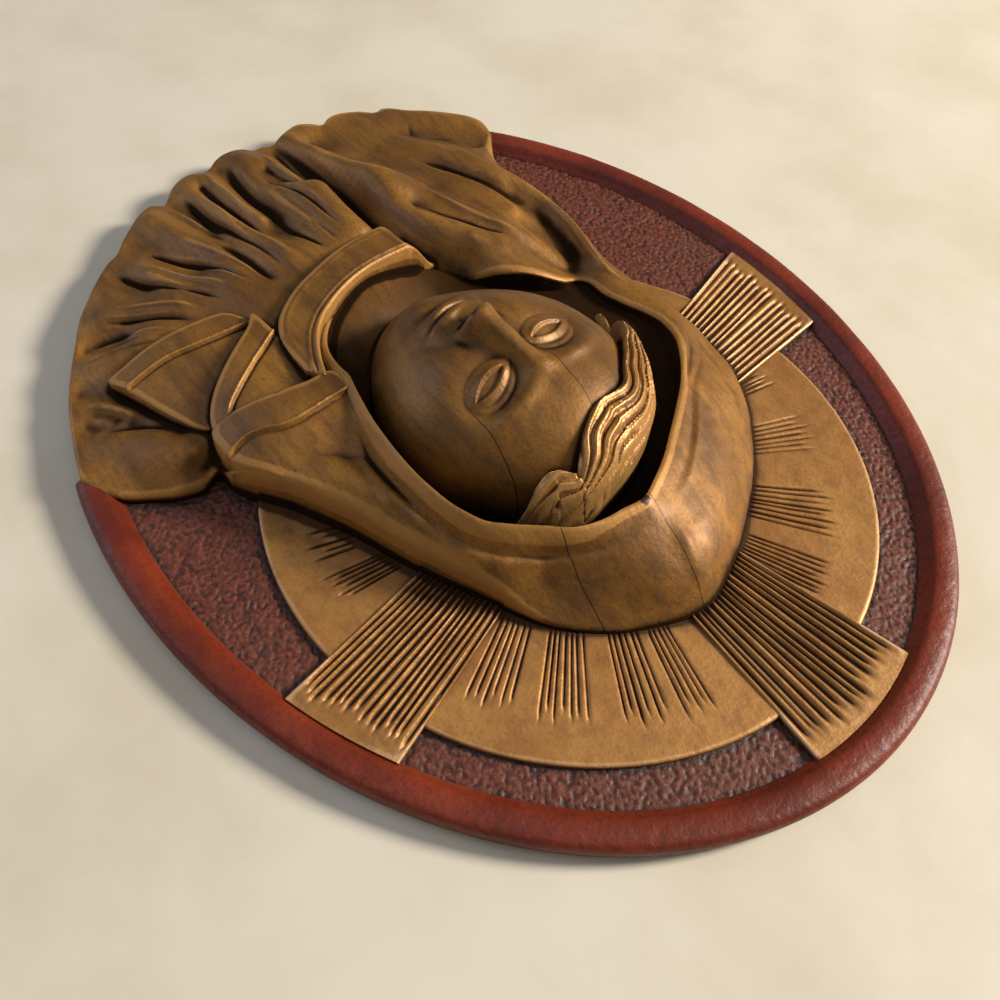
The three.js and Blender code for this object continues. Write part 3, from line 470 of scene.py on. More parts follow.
# Sharper valleys and ridges: depth, half width, fade at the ends, then the line
creases = [
    # Grooves that set off the hood's lip
    (-1.3, 1.1, 6, [[4, 75.2], [12, 76], [21, 75.2], [27.8, 71.8], [33.3, 68.4], [40, 63.6], [45.6, 59.2],
                    [51, 52.5], [54.5, 45], [57, 34], [58, 22], [57.4, 8], [55.6, -4], [52, -16]]),
    (-0.3, 1.1, 12, [[1, 74.3], [-7.8, 71.2], [-16.7, 65.8], [-24.4, 60.2], [-33, 52.5], [-42, 44],
                     [-51, 38.5], [-62, 30], [-69, 21]]),
    (0.2, 0.9, 12, [[-2, 74.6], [-9, 73], [-18.5, 67.6], [-26, 62], [-35, 54.2], [-44, 46], [-53, 40.4]]),
    (-0.5, 0.8, 6, [[-38, 45], [-47, 37.5], [-56, 30], [-63, 22]]),
    # Ridge over the hood
    (0.9, 2.6, 10, [[2.8, 101], [2, 92], [1.2, 84], [0.8, 76]]),
    # Pocket beside the left veil's edge
    (-3.0, 3.6, 8, [[-58.5, -23], [-63, -33], [-67, -44], [-68.8, -57], [-68, -72]]),
    (1.2, 1.2, 10, [[-68, -2], [-63.5, -9], [-61.5, -17], [-63.3, -25], [-67.5, -34], [-71, -45],
                    [-73, -57], [-73, -70]]),
    # Valleys
    (-0.9, 0.9, 6, [[-46.5, -56], [-45, -61], [-42.4, -69], [-39, -78], [-37.6, -85]]),
    (-0.8, 0.8, 8, [[-44, -42.5], [-36, -51.6], [-32, -60], [-27, -70], [-24, -78]]),
    (-1.4, 2.0, 6, [[-19, -43.5], [-12, -58], [-8, -70], [-7.5, -80], [-8, -95], [-8.5, -115], [-8.5, -131],
                     [-7.6, -152]]),
    (-1.0, 1.0, 6, [[-1.5, -108], [-3, -118], [-4.2, -130], [-5, -150]]),
    (-1.0, 1.6, 6, [[3.5, -110], [4.4, -125], [4.5, -142]]),
    (-1.7, 1.9, 5, [[21.2, -90], [19.6, -98], [19.2, -108], [19.6, -120], [18.5, -131], [16, -143],
                    [12.5, -152]]),
    (-1.2, 1.4, 6, [[28.6, -96], [29.4, -105], [30, -115], [30, -130], [29.3, -147]]),
    (-1.6, 2.3, 8, [[39.5, -103], [39, -112], [38.4, -122], [38, -132], [37.5, -142]]),
    (-1.0, 1.5, 8, [[38.6, -69], [39.2, -80], [40, -90], [42, -99], [45, -107]]),
    (-1.3, 1.4, 5, [[52.6, -92], [54, -97], [57, -103], [60.5, -111], [64, -119]]),
    (-1.2, 1.5, 6, [[70.2, -92], [72, -100], [74.2, -108], [76.5, -116]]),
    (-1.3, 1.7, 5, [[85.6, -79.5], [88.5, -83.2], [93, -86.5], [99, -88.6]]),
    (-1.3, 1.7, 8, [[98.5, -45], [102, -51], [106.5, -57.5], [111, -62.5], [115, -66]]),
    (-0.9, 1.3, 8, [[92, -36], [98, -44], [104, -49], [112, -53]]),
    (-0.9, 1.2, 6, [[-71, -115], [-65.5, -121], [-60.5, -126]]),
    (-0.8, 0.7, 3, [[-57.5, -127.5], [-59.3, -132], [-61, -136.5]]),
    (-1.7, 2.1, 10, [[-66, -64], [-61, -74], [-56, -86], [-50, -101], [-43, -114]]),
    (-0.7, 1.1, 8, [[62, -70], [66, -79], [68.5, -86]]),
    (-0.7, 1.1, 8, [[12, -70], [13.2, -82], [17, -92]]),
    (-0.6, 1.0, 8, [[24, -68], [26.5, -80], [27, -90]]),
    (-1.1, 0.9, 8, [[8, -72], [8.6, -90], [9.6, -112], [10, -134]]),
    (-1.0, 0.9, 8, [[17, -70], [19.5, -88], [20, -104]]),
    (-1.1, 1.0, 8, [[32, -69], [33.5, -86], [36, -104], [38, -124], [37.5, -142]]),
    (-1.1, 1.0, 8, [[44, -68], [48, -82], [52, -94], [58, -106], [64, -118]]),
    (-1.1, 1.0, 8, [[55, -69], [60, -80], [67, -92], [73, -104], [77, -116]]),
    (-1.1, 1.0, 8, [[66, -70], [73, -78], [82, -86], [90, -93], [95, -97]]),
    (-0.9, 0.9, 8, [[78, -71], [88, -76], [98, -80], [106, -82]]),
    # Ridges
    (0.7, 1.0, 8, [[13, -70], [14.5, -88], [15, -106], [14.5, -126]]),
    (0.7, 1.0, 8, [[28, -69], [29, -84], [31, -98], [33, -118], [33, -138]]),
    (0.8, 1.0, 8, [[39, -68], [42, -82], [46, -94], [50, -106], [54, -122]]),
    (0.8, 1.0, 8, [[50, -68], [55, -82], [61, -94], [67, -106], [72, -116]]),
    (0.8, 1.0, 8, [[61, -69], [67, -79], [76, -88], [84, -95], [88, -100]]),
    (0.7, 1.0, 8, [[73, -71], [81, -78], [92, -84], [100, -88]]),
    (0.7, 1.3, 5, [[-50, -36], [-46, -44], [-40, -53], [-36, -63], [-33.6, -78], [-33, -90]]),
    (1.0, 2.0, 1, [[-33.6, -86.5], [-33.2, -89.5]]),
    (0.5, 1.0, 6, [[1.5, -108], [1.8, -125], [0.8, -150]]),
    (0.5, 1.1, 6, [[25, -98], [26, -115], [25.5, -130], [25, -148]]),
    (0.5, 1.2, 6, [[34.3, -98], [34.3, -118], [34.5, -135]]),
    (0.7, 1.0, 6, [[37.5, -101], [41, -115], [44, -130], [45.5, -141]]),
    (0.6, 1.4, 6, [[46, -69], [50, -85], [53, -91.5]]),
    (0.7, 1.4, 4, [[60, -78], [65, -90], [69, -105], [69.7, -112]]),
    (0.5, 1.2, 5, [[9.8, -138], [9, -150]]),
    (0.4, 1.5, 6, [[81, -69], [84, -79], [85, -88]]),
    (0.5, 1.1, 6, [[-2, -68], [-2.6, -84], [-4.5, -106]]),
]
for depth, half, fade, line in creases:
    dist, place, _ = off_line(GX, GZ, curve(line, 1.5), 4 * half)
    total = place.max()
    fade = max(fade, 0.35 * total)
    depth *= 1.35 * ease(total, 8, 42) + 0.35
    ends = ease(place, 0, fade) * ease(total - place, 0, fade)
    cloth_values += depth * np.exp(-((dist / half) ** 2)) * ends * (dist < 4 * half)
lumps = Noise(cell=9, seed=3)
cuts = Noise(cell=4, seed=4)
cloth_values += 0.16 * lumps(GX, GZ) + 0.07 * cuts(GX * 0.6, GZ * 1.7)
cloth = as_map(cloth_values)

bust_ring = np.vstack((outline(veil_foot)[:-1], outline(scallops)))
opening_ring = outline(opening_edge, True)
around_ring = opening_ring + (opening_ring - [-6, 10]) * 0.025


# Sheets of the veil over the right shoulder
def sheet_height(spec):
    surface = Plate(spec["points"], slack=0.05)
    hem = curve(spec["hem"], 1.0)

    def height(x, z):
        dist, _, side = off_line(x, z, hem, 12)
        past = np.where(side < 0, dist, -dist)
        raised = 0.5 * ease(past, -0.3, 0.3)
        bead = 0.8 * bump((past - 0.1) / 0.6) - 0.5 * bump((past + 0.8) / 0.6)
        return surface(x, z) + raised + bead + 0.1 * lumps(x, z)

    return height


sheet_rings = [outline(s["edge"], True) for s in sheets]
sheet_heights = [sheet_height(s) for s in sheets]

# Collar band with a double bead on its inner edge
collar_in = outline(collar_inner)
collar_out = outline(collar_outer)
collar_ring = np.vstack((collar_in, collar_out))


def collar(x, z):
    r = np.hypot(x - COLLAR_CENTRE[0], z - COLLAR_CENTRE[1])
    h = COLLAR_TOP - COLLAR_FALL * ease(-x, 1, 15) - 0.14 * (r - 44)
    dist, _, _ = off_line(x, z, collar_in, 8)
    h = h + 0.8 * bump((dist - 0.9) / 0.8) + 0.5 * bump((dist - 3.1) / 0.6) - 0.25 * bump((dist - 2.2) / 0.5)
    outer, _, _ = off_line(x, z, collar_out, 8)
    return h + 0.25 * bump((outer - 2.6) / 0.7) + 0.08 * lumps(x, z)


# Head: a plain, calm, symmetrical face laid out by thirds
TILT_COS, TILT_SIN = math.cos(HEAD_TILT), math.sin(HEAD_TILT)
EYE_OUT = 13.6
EYE_LEVEL = 6.4
MOUTH_LEVEL = -20.9


def head_frame(x, z):
    px, pz = x - HEAD_CENTRE[0], z - HEAD_CENTRE[1]
    return px * TILT_COS + pz * TILT_SIN, pz * TILT_COS - px * TILT_SIN


# On each side: rise, distance from the middle, half width, level, half height
FACE_PAIRS = [
    # Cheek
    (1.1, 17.5, 9, -8, 8.5),
    # Nostril wing, the groove beside it and the nostril
    (3.0, 4.9, 2.5, -8.8, 2.9),
    (-0.7, 7.9, 1.3, -8.6, 3.2),
    (-1.5, 2.7, 1.3, -11.9, 1.1),
    # Corner of the mouth
    (-0.5, 9.8, 1.6, -20.4, 1.6),
]

# In the middle: rise, half width, level, half height, bow
FACE_MIDDLE = [
    # Tip of the nose
    (0.8, 3.4, -7.6, 3, 0),
    # The swell that carries the mouth, and the groove above it
    (2.0, 10.5, -20.5, 6.5, 0),
    (-0.5, 1.3, -15.2, 2, 0),
    # Upper lip, then lower lip
    (1.1, 8, -18.7, 1.45, 0.02),
    (1.5, 6.8, -23, 1.75, 0),
]


def face(x, z):
    u, v = head_frame(x, z)
    jaw = np.where(v < 0, 1 - 0.3 * (v / HEAD_HALF_HEIGHT) ** 2, 1)
    q = np.minimum(1, (u / (HEAD_HALF_WIDTH * jaw)) ** 2 + (v / HEAD_HALF_HEIGHT) ** 2)
    shell = np.sqrt(1 - q)
    h = HEAD_BASE + HEAD_RISE * (1 - q) ** 0.44 + 0.07 * v
    m = u - TURN * shell
    for side in (-1, 1):
        e = m - side * EYE_OUT
        a = e * side
        b = v - EYE_LEVEL - 0.06 * a
        # Socket, brow and the ball of the eye
        h -= 4.3 * bump(e / 9) * bump((v - 8) / 6.8)
        h += 1.5 * bump(e / 11) * bump((v - 17.2 + 0.016 * e * e) / 2.7)
        ball = np.maximum(0, 1 - (a / 9.2) ** 2 - (b / 6.6) ** 2)
        h += 3.5 * ball**1.1
        # Almond opening with its two lids
        almond = 1 - (a / 6.9) ** 2
        upper = -0.3 + 1.9 * almond
        lower = -0.3 - 1.9 * almond
        h -= 0.85 * (ease(upper - b, -0.2, 0.45) * ease(b - lower, -0.2, 0.45) * (almond > 0))
        h += 0.35 * bump((b - upper - 0.55) / 0.6) * ease(almond, -0.1, 0.3)
        h += 0.3 * bump((b - lower + 0.5) / 0.6) * ease(almond, -0.1, 0.3)
        # Fold over the upper lid, and the hollow under the eye
        fold = 1.1 + 3.1 * (1 - (a / 8.6) ** 2)
        h -= 0.6 * bump((b - fold) / 0.7) * bump(a / 8)
        h -= 0.3 * bump((b + 4.4 - 0.03 * a * a) / 1.1) * bump(a / 6.5)
        for rise, out, half, level, tall in FACE_PAIRS:
            h += rise * bump((m - side * out) / half) * bump((v - level) / tall)
        # Fold from the nostril to the mouth
        h -= 0.5 * bump((m - side * (11.5 + 0.22 * (-14 - v))) / 2.2) * bump((v + 15) / 4.5)
    # Ridge of the nose, widening to its tip
    t = np.clip((14 - v) / 21.5, 0, 1)
    ridge = np.exp(-np.abs(m / (3.1 + 1.7 * t)) ** 2.4)
    h += (1.9 + 5.7 * t**1.25) * ridge * ease(v, -13.2, -8.6) * (1 - ease(v, 9, 21))
    for rise, half, level, tall, bow in FACE_MIDDLE:
        h += rise * bump(m / half) * bump((v - level + bow * m * m) / tall)
    # Line of the mouth, the hollow under it and the chin
    line = MOUTH_LEVEL + 0.006 * m * m
    h -= 1.1 * bump((v - line) / 0.6) * ease(10.2 - np.abs(m), 0, 2.4)
    h -= 1.3 * bump(m / 8) * bump((v + 27.2) / 2.1)
    h += 2.6 * bump(m / 8.5) * bump((v + 34) / 5)
    return np.where(q < 1, h, 0)


def neck(x, z):
    return CAVITY + 12.5 * bump((x - 20) / 30) * bump((z + 50) / 26) + 0.3 * lumps(x, z)


def head(x, z):
    return np.maximum(face(x, z), neck(x, z)) + 0.05 * lumps(x, z)


def strands(outer_line, inner_line, count, phase):
    """Hair surface whose locks run from the parting down between its two edges."""
    outer, inner = curve(outer_line, 1.0), curve(inner_line, 1.0)

    def height(x, z):
        u, v = head_frame(x, z)
        across, along = u / (HEAD_HALF_WIDTH + HAIR_SPREAD), v / (HEAD_HALF_HEIGHT + HAIR_SPREAD)
        q = np.minimum(1, across**2 + along**2)
        h = HEAD_BASE + 1.5 + HEAD_RISE * (1 - q) ** 0.42
        near, place, _ = off_line(x, z, inner, 30)
        far, _, _ = off_line(x, z, outer, 30)
        share = near / np.maximum(0.01, near + far)
        lane = np.arcsin(np.clip(share, 0, 1)) * 2 / np.pi
        wave = count * (lane + 0.035 * np.sin(place / 5.0 + phase) + 0.02 * np.sin(place / 2.3 + 2 * phase))
        lock = np.abs(np.sin(np.pi * wave)) ** 0.7
        fine = np.abs(np.sin(np.pi * (2.6 * wave + 0.3 * np.sin(place / 7)))) ** 0.8
        roll = 1.6 * bump((share - 0.5) / 0.36) - 1.0 - 3.0 * ease(share, 0.8, 1.02)
        roll = roll - 1.6 * ease(-share, -0.12, 0)
        return h + roll + 1.5 * (lock - 0.7) + 0.5 * (fine - 0.6)

    return height


hair_rings = [outline(r, True) for r in (hair_left, hair_right)]
hair_heights = [
    strands(hair_left[:11], hair_left[11:], count=6.5, phase=0.4),
    strands(hair_right[:6], hair_right[6:], count=5, phase=1.9),
]


# Arms of the cross and the rays between them
def spaced(values, gap):
    """The values in order, without those that crowd the one before."""
    values = np.unique(values)
    keep = [values[0]]
    for value in values[1:]:
        if value - keep[-1] > gap:
            keep.append(value)
    return np.array(keep)


def arm_columns(cuts_across):
    """Places across an arm, close together where the gouge cuts are."""
    spots = [0, 0.006, 0.014]
    for middle, half in cuts_across:
        spots.extend(middle + half * np.linspace(-1.05, 1.05, 13))
    spots.extend([0.986, 0.994, 1])
    return spaced(np.clip(spots, 0, 1), 0.0025)


def to_ellipse(p, d, inset):
    """How far along p + t d the ellipse lies."""
    a, b = HALF_WIDTH - inset, HALF_HEIGHT - inset
    qa = (d[..., 0] / a) ** 2 + (d[..., 1] / b) ** 2
    qb = 2 * (p[..., 0] * d[..., 0] / a**2 + p[..., 1] * d[..., 1] / b**2)
    qc = (p[..., 0] / a) ** 2 + (p[..., 1] / b) ** 2 - 1
    return (-qb + np.sqrt(qb**2 - 4 * qa * qc)) / (2 * qa)


def arm_top(spec, x, z):
    """Height of an arm's plain top, which falls from the hood to the rim."""
    start, end = np.mean(spec["inner"], axis=0), np.mean(spec["outer"], axis=0)
    d = end - start
    return ARM - ARM_FALL * ((x - start[0]) * d[0] + (z - start[1]) * d[1]) / (d @ d)


def arm_grid(spec, seed):
    r = np.random.RandomState(seed)
    inner, outer = np.array(spec["inner"], float), np.array(spec["outer"], float)
    cuts_across = []
    for k in range(ARM_CUTS):
        middle = (k + 0.75 + r.uniform(-0.12, 0.12)) / (ARM_CUTS + 0.5)
        cuts_across.append((middle, r.uniform(0.42, 0.64) / (ARM_CUTS + 0.5)))
    s = arm_columns(cuts_across)
    t = np.concatenate(([0, 0.006, 0.012], np.linspace(0.02, 0.98, 96), [0.99, 1]))
    near = inner[0] + (inner[1] - inner[0]) * s[:, None]
    far = outer[0] + (outer[1] - outer[0]) * s[:, None]
    reach = to_ellipse(near, far - near, ARM_END)
    far = near + (far - near) * reach[:, None]
    p = near[None] + (far - near)[None] * t[:, None, None]
    length = np.linalg.norm(far - near, axis=1)[None, :]
    left = length * (1 - t[:, None])
    w = arm_top(spec, p[..., 0], p[..., 1])
    wander = Noise(14, seed + 5)
    for k, (middle, half) in enumerate(cuts_across):
        shift = 0.3 * half * wander(p[..., 0] * 0.4 + 7 * k, p[..., 1] * 0.4)
        d = (s[None, :] - middle - shift) / half
        stop = 0.5 + 4.0 * r.rand() + (1.5 if k % 2 else 0)
        depth = 1.05 + 0.5 * r.rand()
        taper = ease(left, stop, stop + 6)
        w += 0.12 * ease(left, stop - 2, stop + 5) * bump(np.abs(d) - 1)
        w -= depth * taper * np.clip(1 - np.abs(d), 0, 1) ** 1.5
    round_edge = np.minimum(np.minimum(s, 1 - s)[None, :] * 45, 40)
    w -= 0.35 * np.clip(1 - round_edge / 0.6, 0, 1) ** 2
    w += 0.1 * lumps(p[..., 0], p[..., 1])
    return p, w


def halo_grid():
    lines = []
    r = np.random.RandomState(12)
    for first, last, near, far, count in ray_groups:
        for k in range(count):
            a = first + (last - first) * (k / max(1, count - 1))
            lines.append((a + r.uniform(-0.2, 0.2), near, far - (2.5 if k % 2 else 0) - 2.5 * r.rand(),
                          r.uniform(0.5, 0.8), 0.55 + 0.35 * r.rand()))
    angles = list(np.arange(-42, 230.01, 0.7))
    for a, near, far, half, depth in lines:
        angles.extend(a + np.degrees(half / 72) * np.linspace(-1.1, 1.1, 9))
    angles = spaced(angles, 0.09)
    radii = np.concatenate((np.arange(50, 94.6, 0.7), [94.9, 95.2, 95.4, HALO_RADIUS]))
    aa, rr = np.meshgrid(np.radians(angles[::-1]), radii)
    x = HALO_CENTRE[0] + rr * np.cos(aa)
    z = HALO_CENTRE[1] + rr * np.sin(aa)
    w = np.full(x.shape, HALO)
    for a, near, far, half, depth in lines:
        d = (np.degrees(aa) - a) / np.degrees(half / 72)
        ends = ease(far - rr, 0, 5) * ease(rr, near - 1, near + 3)
        w -= 1.2 * depth * np.clip(1 - np.abs(d), 0, 1) ** 1.3 * ends
    w -= 0.5 * np.clip(1 - (HALO_RADIUS - rr) / 0.7, 0, 1) ** 2
    w += 0.12 * lumps(x, z) + 0.05 * cuts(x, z)
    return np.dstack((x, z)), w


arm_grids = [arm_grid(spec, 20 + k) for k, spec in enumerate(arms)]
arm_rings = [np.array(spec["inner"] + spec["outer"][::-1], float) for spec in arms]
under_arms = as_map(on_map(arm_rings), 0.7)
halo_points, halo_w = halo_grid()
halo_w -= ARM_BED * (under_arms(halo_points[..., 0], halo_points[..., 1]) > 0.96)

# Where the rim runs, from one side of the veil to the other
RIM_SPAN = (
    math.atan2(scallops[-1][1] / HALF_HEIGHT, scallops[-1][0] / HALF_WIDTH),
    math.pi + math.atan2(-scallops[0][1] / HALF_HEIGHT, -scallops[0][0] / HALF_WIDTH),
)

# Rim profile: set in from the edge, and height
RIM_PROFILE = np.array([
    [2.4, 0.5], [1.1, 0.7], [0.5, 1.7], [0.15, 3.0], [0.0, 4.3], [0.15, 5.4], [0.55, 6.25], [1.2, 6.9],
    [2.1, 7.3], [3.3, 7.52], [4.6, 7.6], [6.0, 7.55], [7.1, 7.38], [7.9, 7.1], [8.5, 6.6], [9.1, 5.9],
    [9.8, 5.1], [10.6, 4.3], [11.3, 3.7], [11.6, 3.0], [11.4, 1.6], [8.0, 0.5],
])

# How high the whole plaque stands, for the wax in its hollows and their painted shade
stack = np.zeros(GX.shape)
outline_share = np.hypot(GX / HALF_WIDTH, GZ / HALF_HEIGHT)
outline_mask = outline_share < 1
stack[outline_mask] = GROUND
stack[outline_mask & (np.hypot(GX - HALO_CENTRE[0], GZ - HALO_CENTRE[1]) < HALO_RADIUS)] = HALO
for spec, ring in zip(arms, arm_rings):
    mask = outline_mask & on_map([ring])
    stack[mask] = arm_top(spec, GX[mask], GZ[mask])
inset = (1 - outline_share) * (HALF_WIDTH + (HALF_HEIGHT - HALF_WIDTH) * np.abs(GZ) / HALF_HEIGHT)
rim_top = RIM_PROFILE[4:19]
rim_mask = (inset > 0) & (inset < rim_top[-1, 0])
stack[rim_mask] = np.interp(inset[rim_mask], rim_top[:, 0], rim_top[:, 1])
bust_mask = on_map([bust_ring])
opening_mask = on_map([opening_ring])
stack[bust_mask] = cloth_values[bust_mask]
stack[opening_mask] = head(GX[opening_mask], GZ[opening_mask])
for ring, height in zip(hair_rings, hair_heights):
    mask = on_map([ring]) & opening_mask
    stack[mask] = np.maximum(stack[mask], height(GX[mask], GZ[mask]))
for ring, height in zip(sheet_rings + [collar_ring], sheet_heights + [collar]):
    mask = on_map([ring])
    stack[mask] = np.maximum(stack[mask], height(GX[mask], GZ[mask]))
low_map = as_map(stack)
near_level = as_map(stack, 1.3)
wide_level = as_map(stack, 5.0)
around_share = as_map(on_map([around_ring]))
bust_share = as_map(bust_mask, 1.2)


# Meshes, whose points carry how deep they lie in a narrow crease and in a wide hollow, which the paints
# darken as wax and painted shade
DEEPEST_CREASE = 1.6
DEEPEST_HOLLOW = 1.4
LIP_HEIGHT = 1.2
BESIDE = 1.3


def add_object(name, data):
    obj = bpy.data.objects.new(name, data)
    bpy.context.scene.collection.objects.link(obj)
    return obj


def make_piece(name, points, quads, caps, material, angle=40, dark=()):
    """A closed piece from points (x, z, w), quads and flat caps, seen the right way round from the front."""
    mesh = bpy.data.meshes.new(name)
    mesh.vertices.add(len(points))
    placed = np.column_stack((points[:, 0], -points[:, 2], points[:, 1])) * MM
    mesh.vertices.foreach_set("co", placed.ravel())
    corners = np.concatenate([quads.ravel()] + [np.asarray(c) for c in caps]).astype(np.int32)
    totals = np.array([4] * len(quads) + [len(c) for c in caps])
    mesh.loops.add(len(corners))
    mesh.loops.foreach_set("vertex_index", corners)
    mesh.polygons.add(len(totals))
    mesh.polygons.foreach_set("loop_start", (np.cumsum(totals) - totals).astype(np.int32))
    mesh.update(calc_edges=True)
    mesh.validate()
    small = near_level(points[:, 0], points[:, 1]) - points[:, 2]
    large = wide_level(points[:, 0], points[:, 1]) - points[:, 2]
    # Points listed in dark are set deepest, so they are painted fully dark as shade
    small[list(dark)], large[list(dark)] = DEEPEST_CREASE, DEEPEST_HOLLOW
    small, large = np.clip(small, -2, DEEPEST_CREASE), np.clip(large, -3, DEEPEST_HOLLOW)
    for key, values in (("crease", small), ("hollow", large)):
        layer = mesh.attributes.new(key, "FLOAT", "POINT")
        layer.data.foreach_set("value", np.ascontiguousarray(values, dtype=np.float32))
    mesh.shade_smooth()
    mesh.set_sharp_from_angle(angle=math.radians(angle))
    obj = add_object(name, mesh)
    mesh.materials.append(material)
    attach(obj, "root")
    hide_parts("carved_plaque")
    return obj


def skirt(points, loop, foot, quads, caps, lip=False):
    """Walls from a loop of top points down to the foot, with a row just over what stands beside them."""
    ring = points[loop]
    ahead, back = np.roll(ring, -1, 0), np.roll(ring, 1, 0)
    d = ahead[:, :2] - back[:, :2]
    d /= np.maximum(1e-9, np.linalg.norm(d, axis=1))[:, None]
    if lip:
        middle = np.maximum(foot + 0.1, ring[:, 2] - LIP_HEIGHT)
    else:
        beside = low_map(ring[:, 0] + BESIDE * d[:, 1], ring[:, 1] - BESIDE * d[:, 0])
        middle = np.clip(beside + 0.5, foot + 0.05, np.maximum(foot + 0.1, ring[:, 2] - 0.25))
    n, start = len(loop), len(points)
    rows = [points]
    for level in (middle, np.full(n, float(foot))):
        rows.append(np.column_stack((ring[:, :2], level)))
    one = np.arange(n) + start
    two = one + n
    top = np.asarray(loop)
    for upper, lower in ((top, one), (one, two)):
        quads.append(np.column_stack((lower, np.roll(lower, -1), np.roll(upper, -1), upper)))
    caps.append(two[::-1])
    return np.vstack(rows)


def join_corners(cells):
    """Fill cells so that no two meet only at a corner."""
    while True:
        a, b, c, d = cells[:-1, :-1], cells[:-1, 1:], cells[1:, :-1], cells[1:, 1:]
        one = np.argwhere(a & d & ~b & ~c)
        two = np.argwhere(b & c & ~a & ~d)
        if len(one) + len(two) == 0:
            return
        cells[one[:, 0], one[:, 1] + 1] = True
        cells[two[:, 0], two[:, 1]] = True


def spread(mask, times):
    """The mask grown over its neighbours, so many times."""
    for _ in range(times):
        wide = mask.copy()
        wide[1:] |= mask[:-1]
        wide[:-1] |= mask[1:]
        wide[:, 1:] |= mask[:, :-1]
        wide[:, :-1] |= mask[:, 1:]
        mask = wide
    return mask


def border_loops(cells, index):
    """Loops of point numbers round the filled cells, which lie on their left."""
    rows, cols = np.nonzero(cells)
    follow = {}
    for beside, start, end in (
        ((-1, 0), (0, 0), (0, 1)), ((0, 1), (0, 1), (1, 1)),
        ((1, 0), (1, 1), (1, 0)), ((0, -1), (1, 0), (0, 0)),
    ):
        open_side = ~cells[rows + beside[0], cols + beside[1]]
        j, i = rows[open_side], cols[open_side]
        tail = index[j + start[0], i + start[1]]
        tip = index[j + end[0], i + end[1]]
        follow.update(zip(tail.tolist(), tip.tolist()))
    loops = []
    while follow:
        first = next(iter(follow))
        loop = [first]
        at = follow.pop(first)
        while at != first:
            loop.append(at)
            at = follow.pop(at)
        loops.append(loop)
    return loops


def relief(name, rings, height, step, foot, material, soft=0.6, drop=0.45, keep=None, floor=None, angle=40):
    """A closed piece whose top follows a height function inside closed rings.

    Its edge falls by drop over the width soft. Walls round an opening in it stop at floor and are
    painted fully dark as painted shade.
    """
    rings = [np.asarray(r, float) for r in rings]
    every = np.vstack(rings)
    x0, z0 = every.min(0) - 1.5 * step
    nx = int((every[:, 0].max() - x0) / step) + 3
    nz = int((every[:, 1].max() - z0) / step) + 3
    cells = inside(rings, x0 + step / 2, z0 + step / 2, step, nx, nz)
    if keep is not None:
        cx, cz = np.meshgrid(x0 + step * (np.arange(nx) + 0.5), z0 + step * (np.arange(nz) + 0.5))
        cells &= keep(cx, cz)
    cells[0], cells[-1], cells[:, 0], cells[:, -1] = False, False, False, False
    join_corners(cells)
    touch = np.zeros((nz + 1, nx + 1), int)
    for dj in (0, 1):
        for di in (0, 1):
            touch[dj:dj + nz, di:di + nx] += cells
    used = touch > 0
    index = np.full(used.shape, -1)
    index[used] = np.arange(used.sum())
    jj, ii = np.nonzero(used)
    x, z = x0 + step * ii, z0 + step * jj
    border = touch < 4
    band = np.flatnonzero(spread(border, int(math.ceil(soft / step)) + 1)[used])
    bx, bz, dist = to_rings(x[band], z[band], rings)
    snap = border[used][band] & (dist < 1.3 * step)
    x[band[snap]], z[band[snap]] = bx[snap], bz[snap]
    dist = np.where(snap, 0, dist)
    w = height(x, z)
    w[band] -= drop * np.clip(1 - dist / soft, 0, 1) ** 2
    w = np.maximum(w, foot + 0.3)
    points = np.column_stack((x, z, w))
    cj, ci = np.nonzero(cells)
    quads = [np.column_stack((index[cj, ci], index[cj, ci + 1], index[cj + 1, ci + 1], index[cj + 1, ci]))]
    caps = []
    dark = []
    for loop in border_loops(cells, index):
        ring = points[loop]
        area = (ring[:, 0] * np.roll(ring[:, 1], -1) - np.roll(ring[:, 0], -1) * ring[:, 1]).sum()
        lip = area < 0 and floor is not None
        start = len(points)
        points = skirt(points, loop, floor if lip else foot, quads, caps, lip)
        # Walls round an opening are painted fully dark as painted shade
        if lip:
            dark.extend(range(start, len(points)))
    return make_piece(name, points, np.vstack(quads), caps, material, angle, dark)


def patch(name, p, w, foot, material):
    """A closed piece over an even grid of points, rows by columns."""
    rows, cols = w.shape
    points = np.column_stack((p[..., 0].ravel(), p[..., 1].ravel(), w.ravel()))
    k = np.arange(rows * cols).reshape(rows, cols)
    a, b = p[0, 1] - p[0, 0], p[1, 0] - p[0, 0]
    if a[0] * b[1] - a[1] * b[0] < 0:
        k = k[:, ::-1]
    corners = (k[:-1, :-1], k[:-1, 1:], k[1:, 1:], k[1:, :-1])
    quads = [np.column_stack([c.ravel() for c in corners])]
    loop = np.concatenate((k[0, :-1], k[:-1, -1], k[-1, :0:-1], k[:0:-1, 0]))
    caps = []
    points = skirt(points, loop, foot, quads, caps)
    return make_piece(name, points, np.vstack(quads), caps, material)


def rim_piece(name, material):
    """The rounded band, from where it meets the veil on one side to the other."""
    angles = np.linspace(*RIM_SPAN, 520)
    n = len(RIM_PROFILE)
    wave = Noise(cell=11, seed=8)
    rows = []
    for a in angles:
        x = (HALF_WIDTH - RIM_PROFILE[:, 0]) * math.cos(a)
        z = (HALF_HEIGHT - RIM_PROFILE[:, 0]) * math.sin(a)
        w = RIM_PROFILE[:, 1] + 0.1 * wave(x, z) * (RIM_PROFILE[:, 1] > 5)
        rows.append(np.column_stack((x, z, w)))
    points = np.vstack(rows)
    k = np.arange(len(points)).reshape(-1, n)
    nxt = np.roll(k, -1, axis=1)
    quads = np.column_stack((k[:-1].ravel(), k[1:].ravel(), nxt[1:].ravel(), nxt[:-1].ravel()))
    return make_piece(name, points, quads, [k[0], k[-1][::-1]], material, 50)


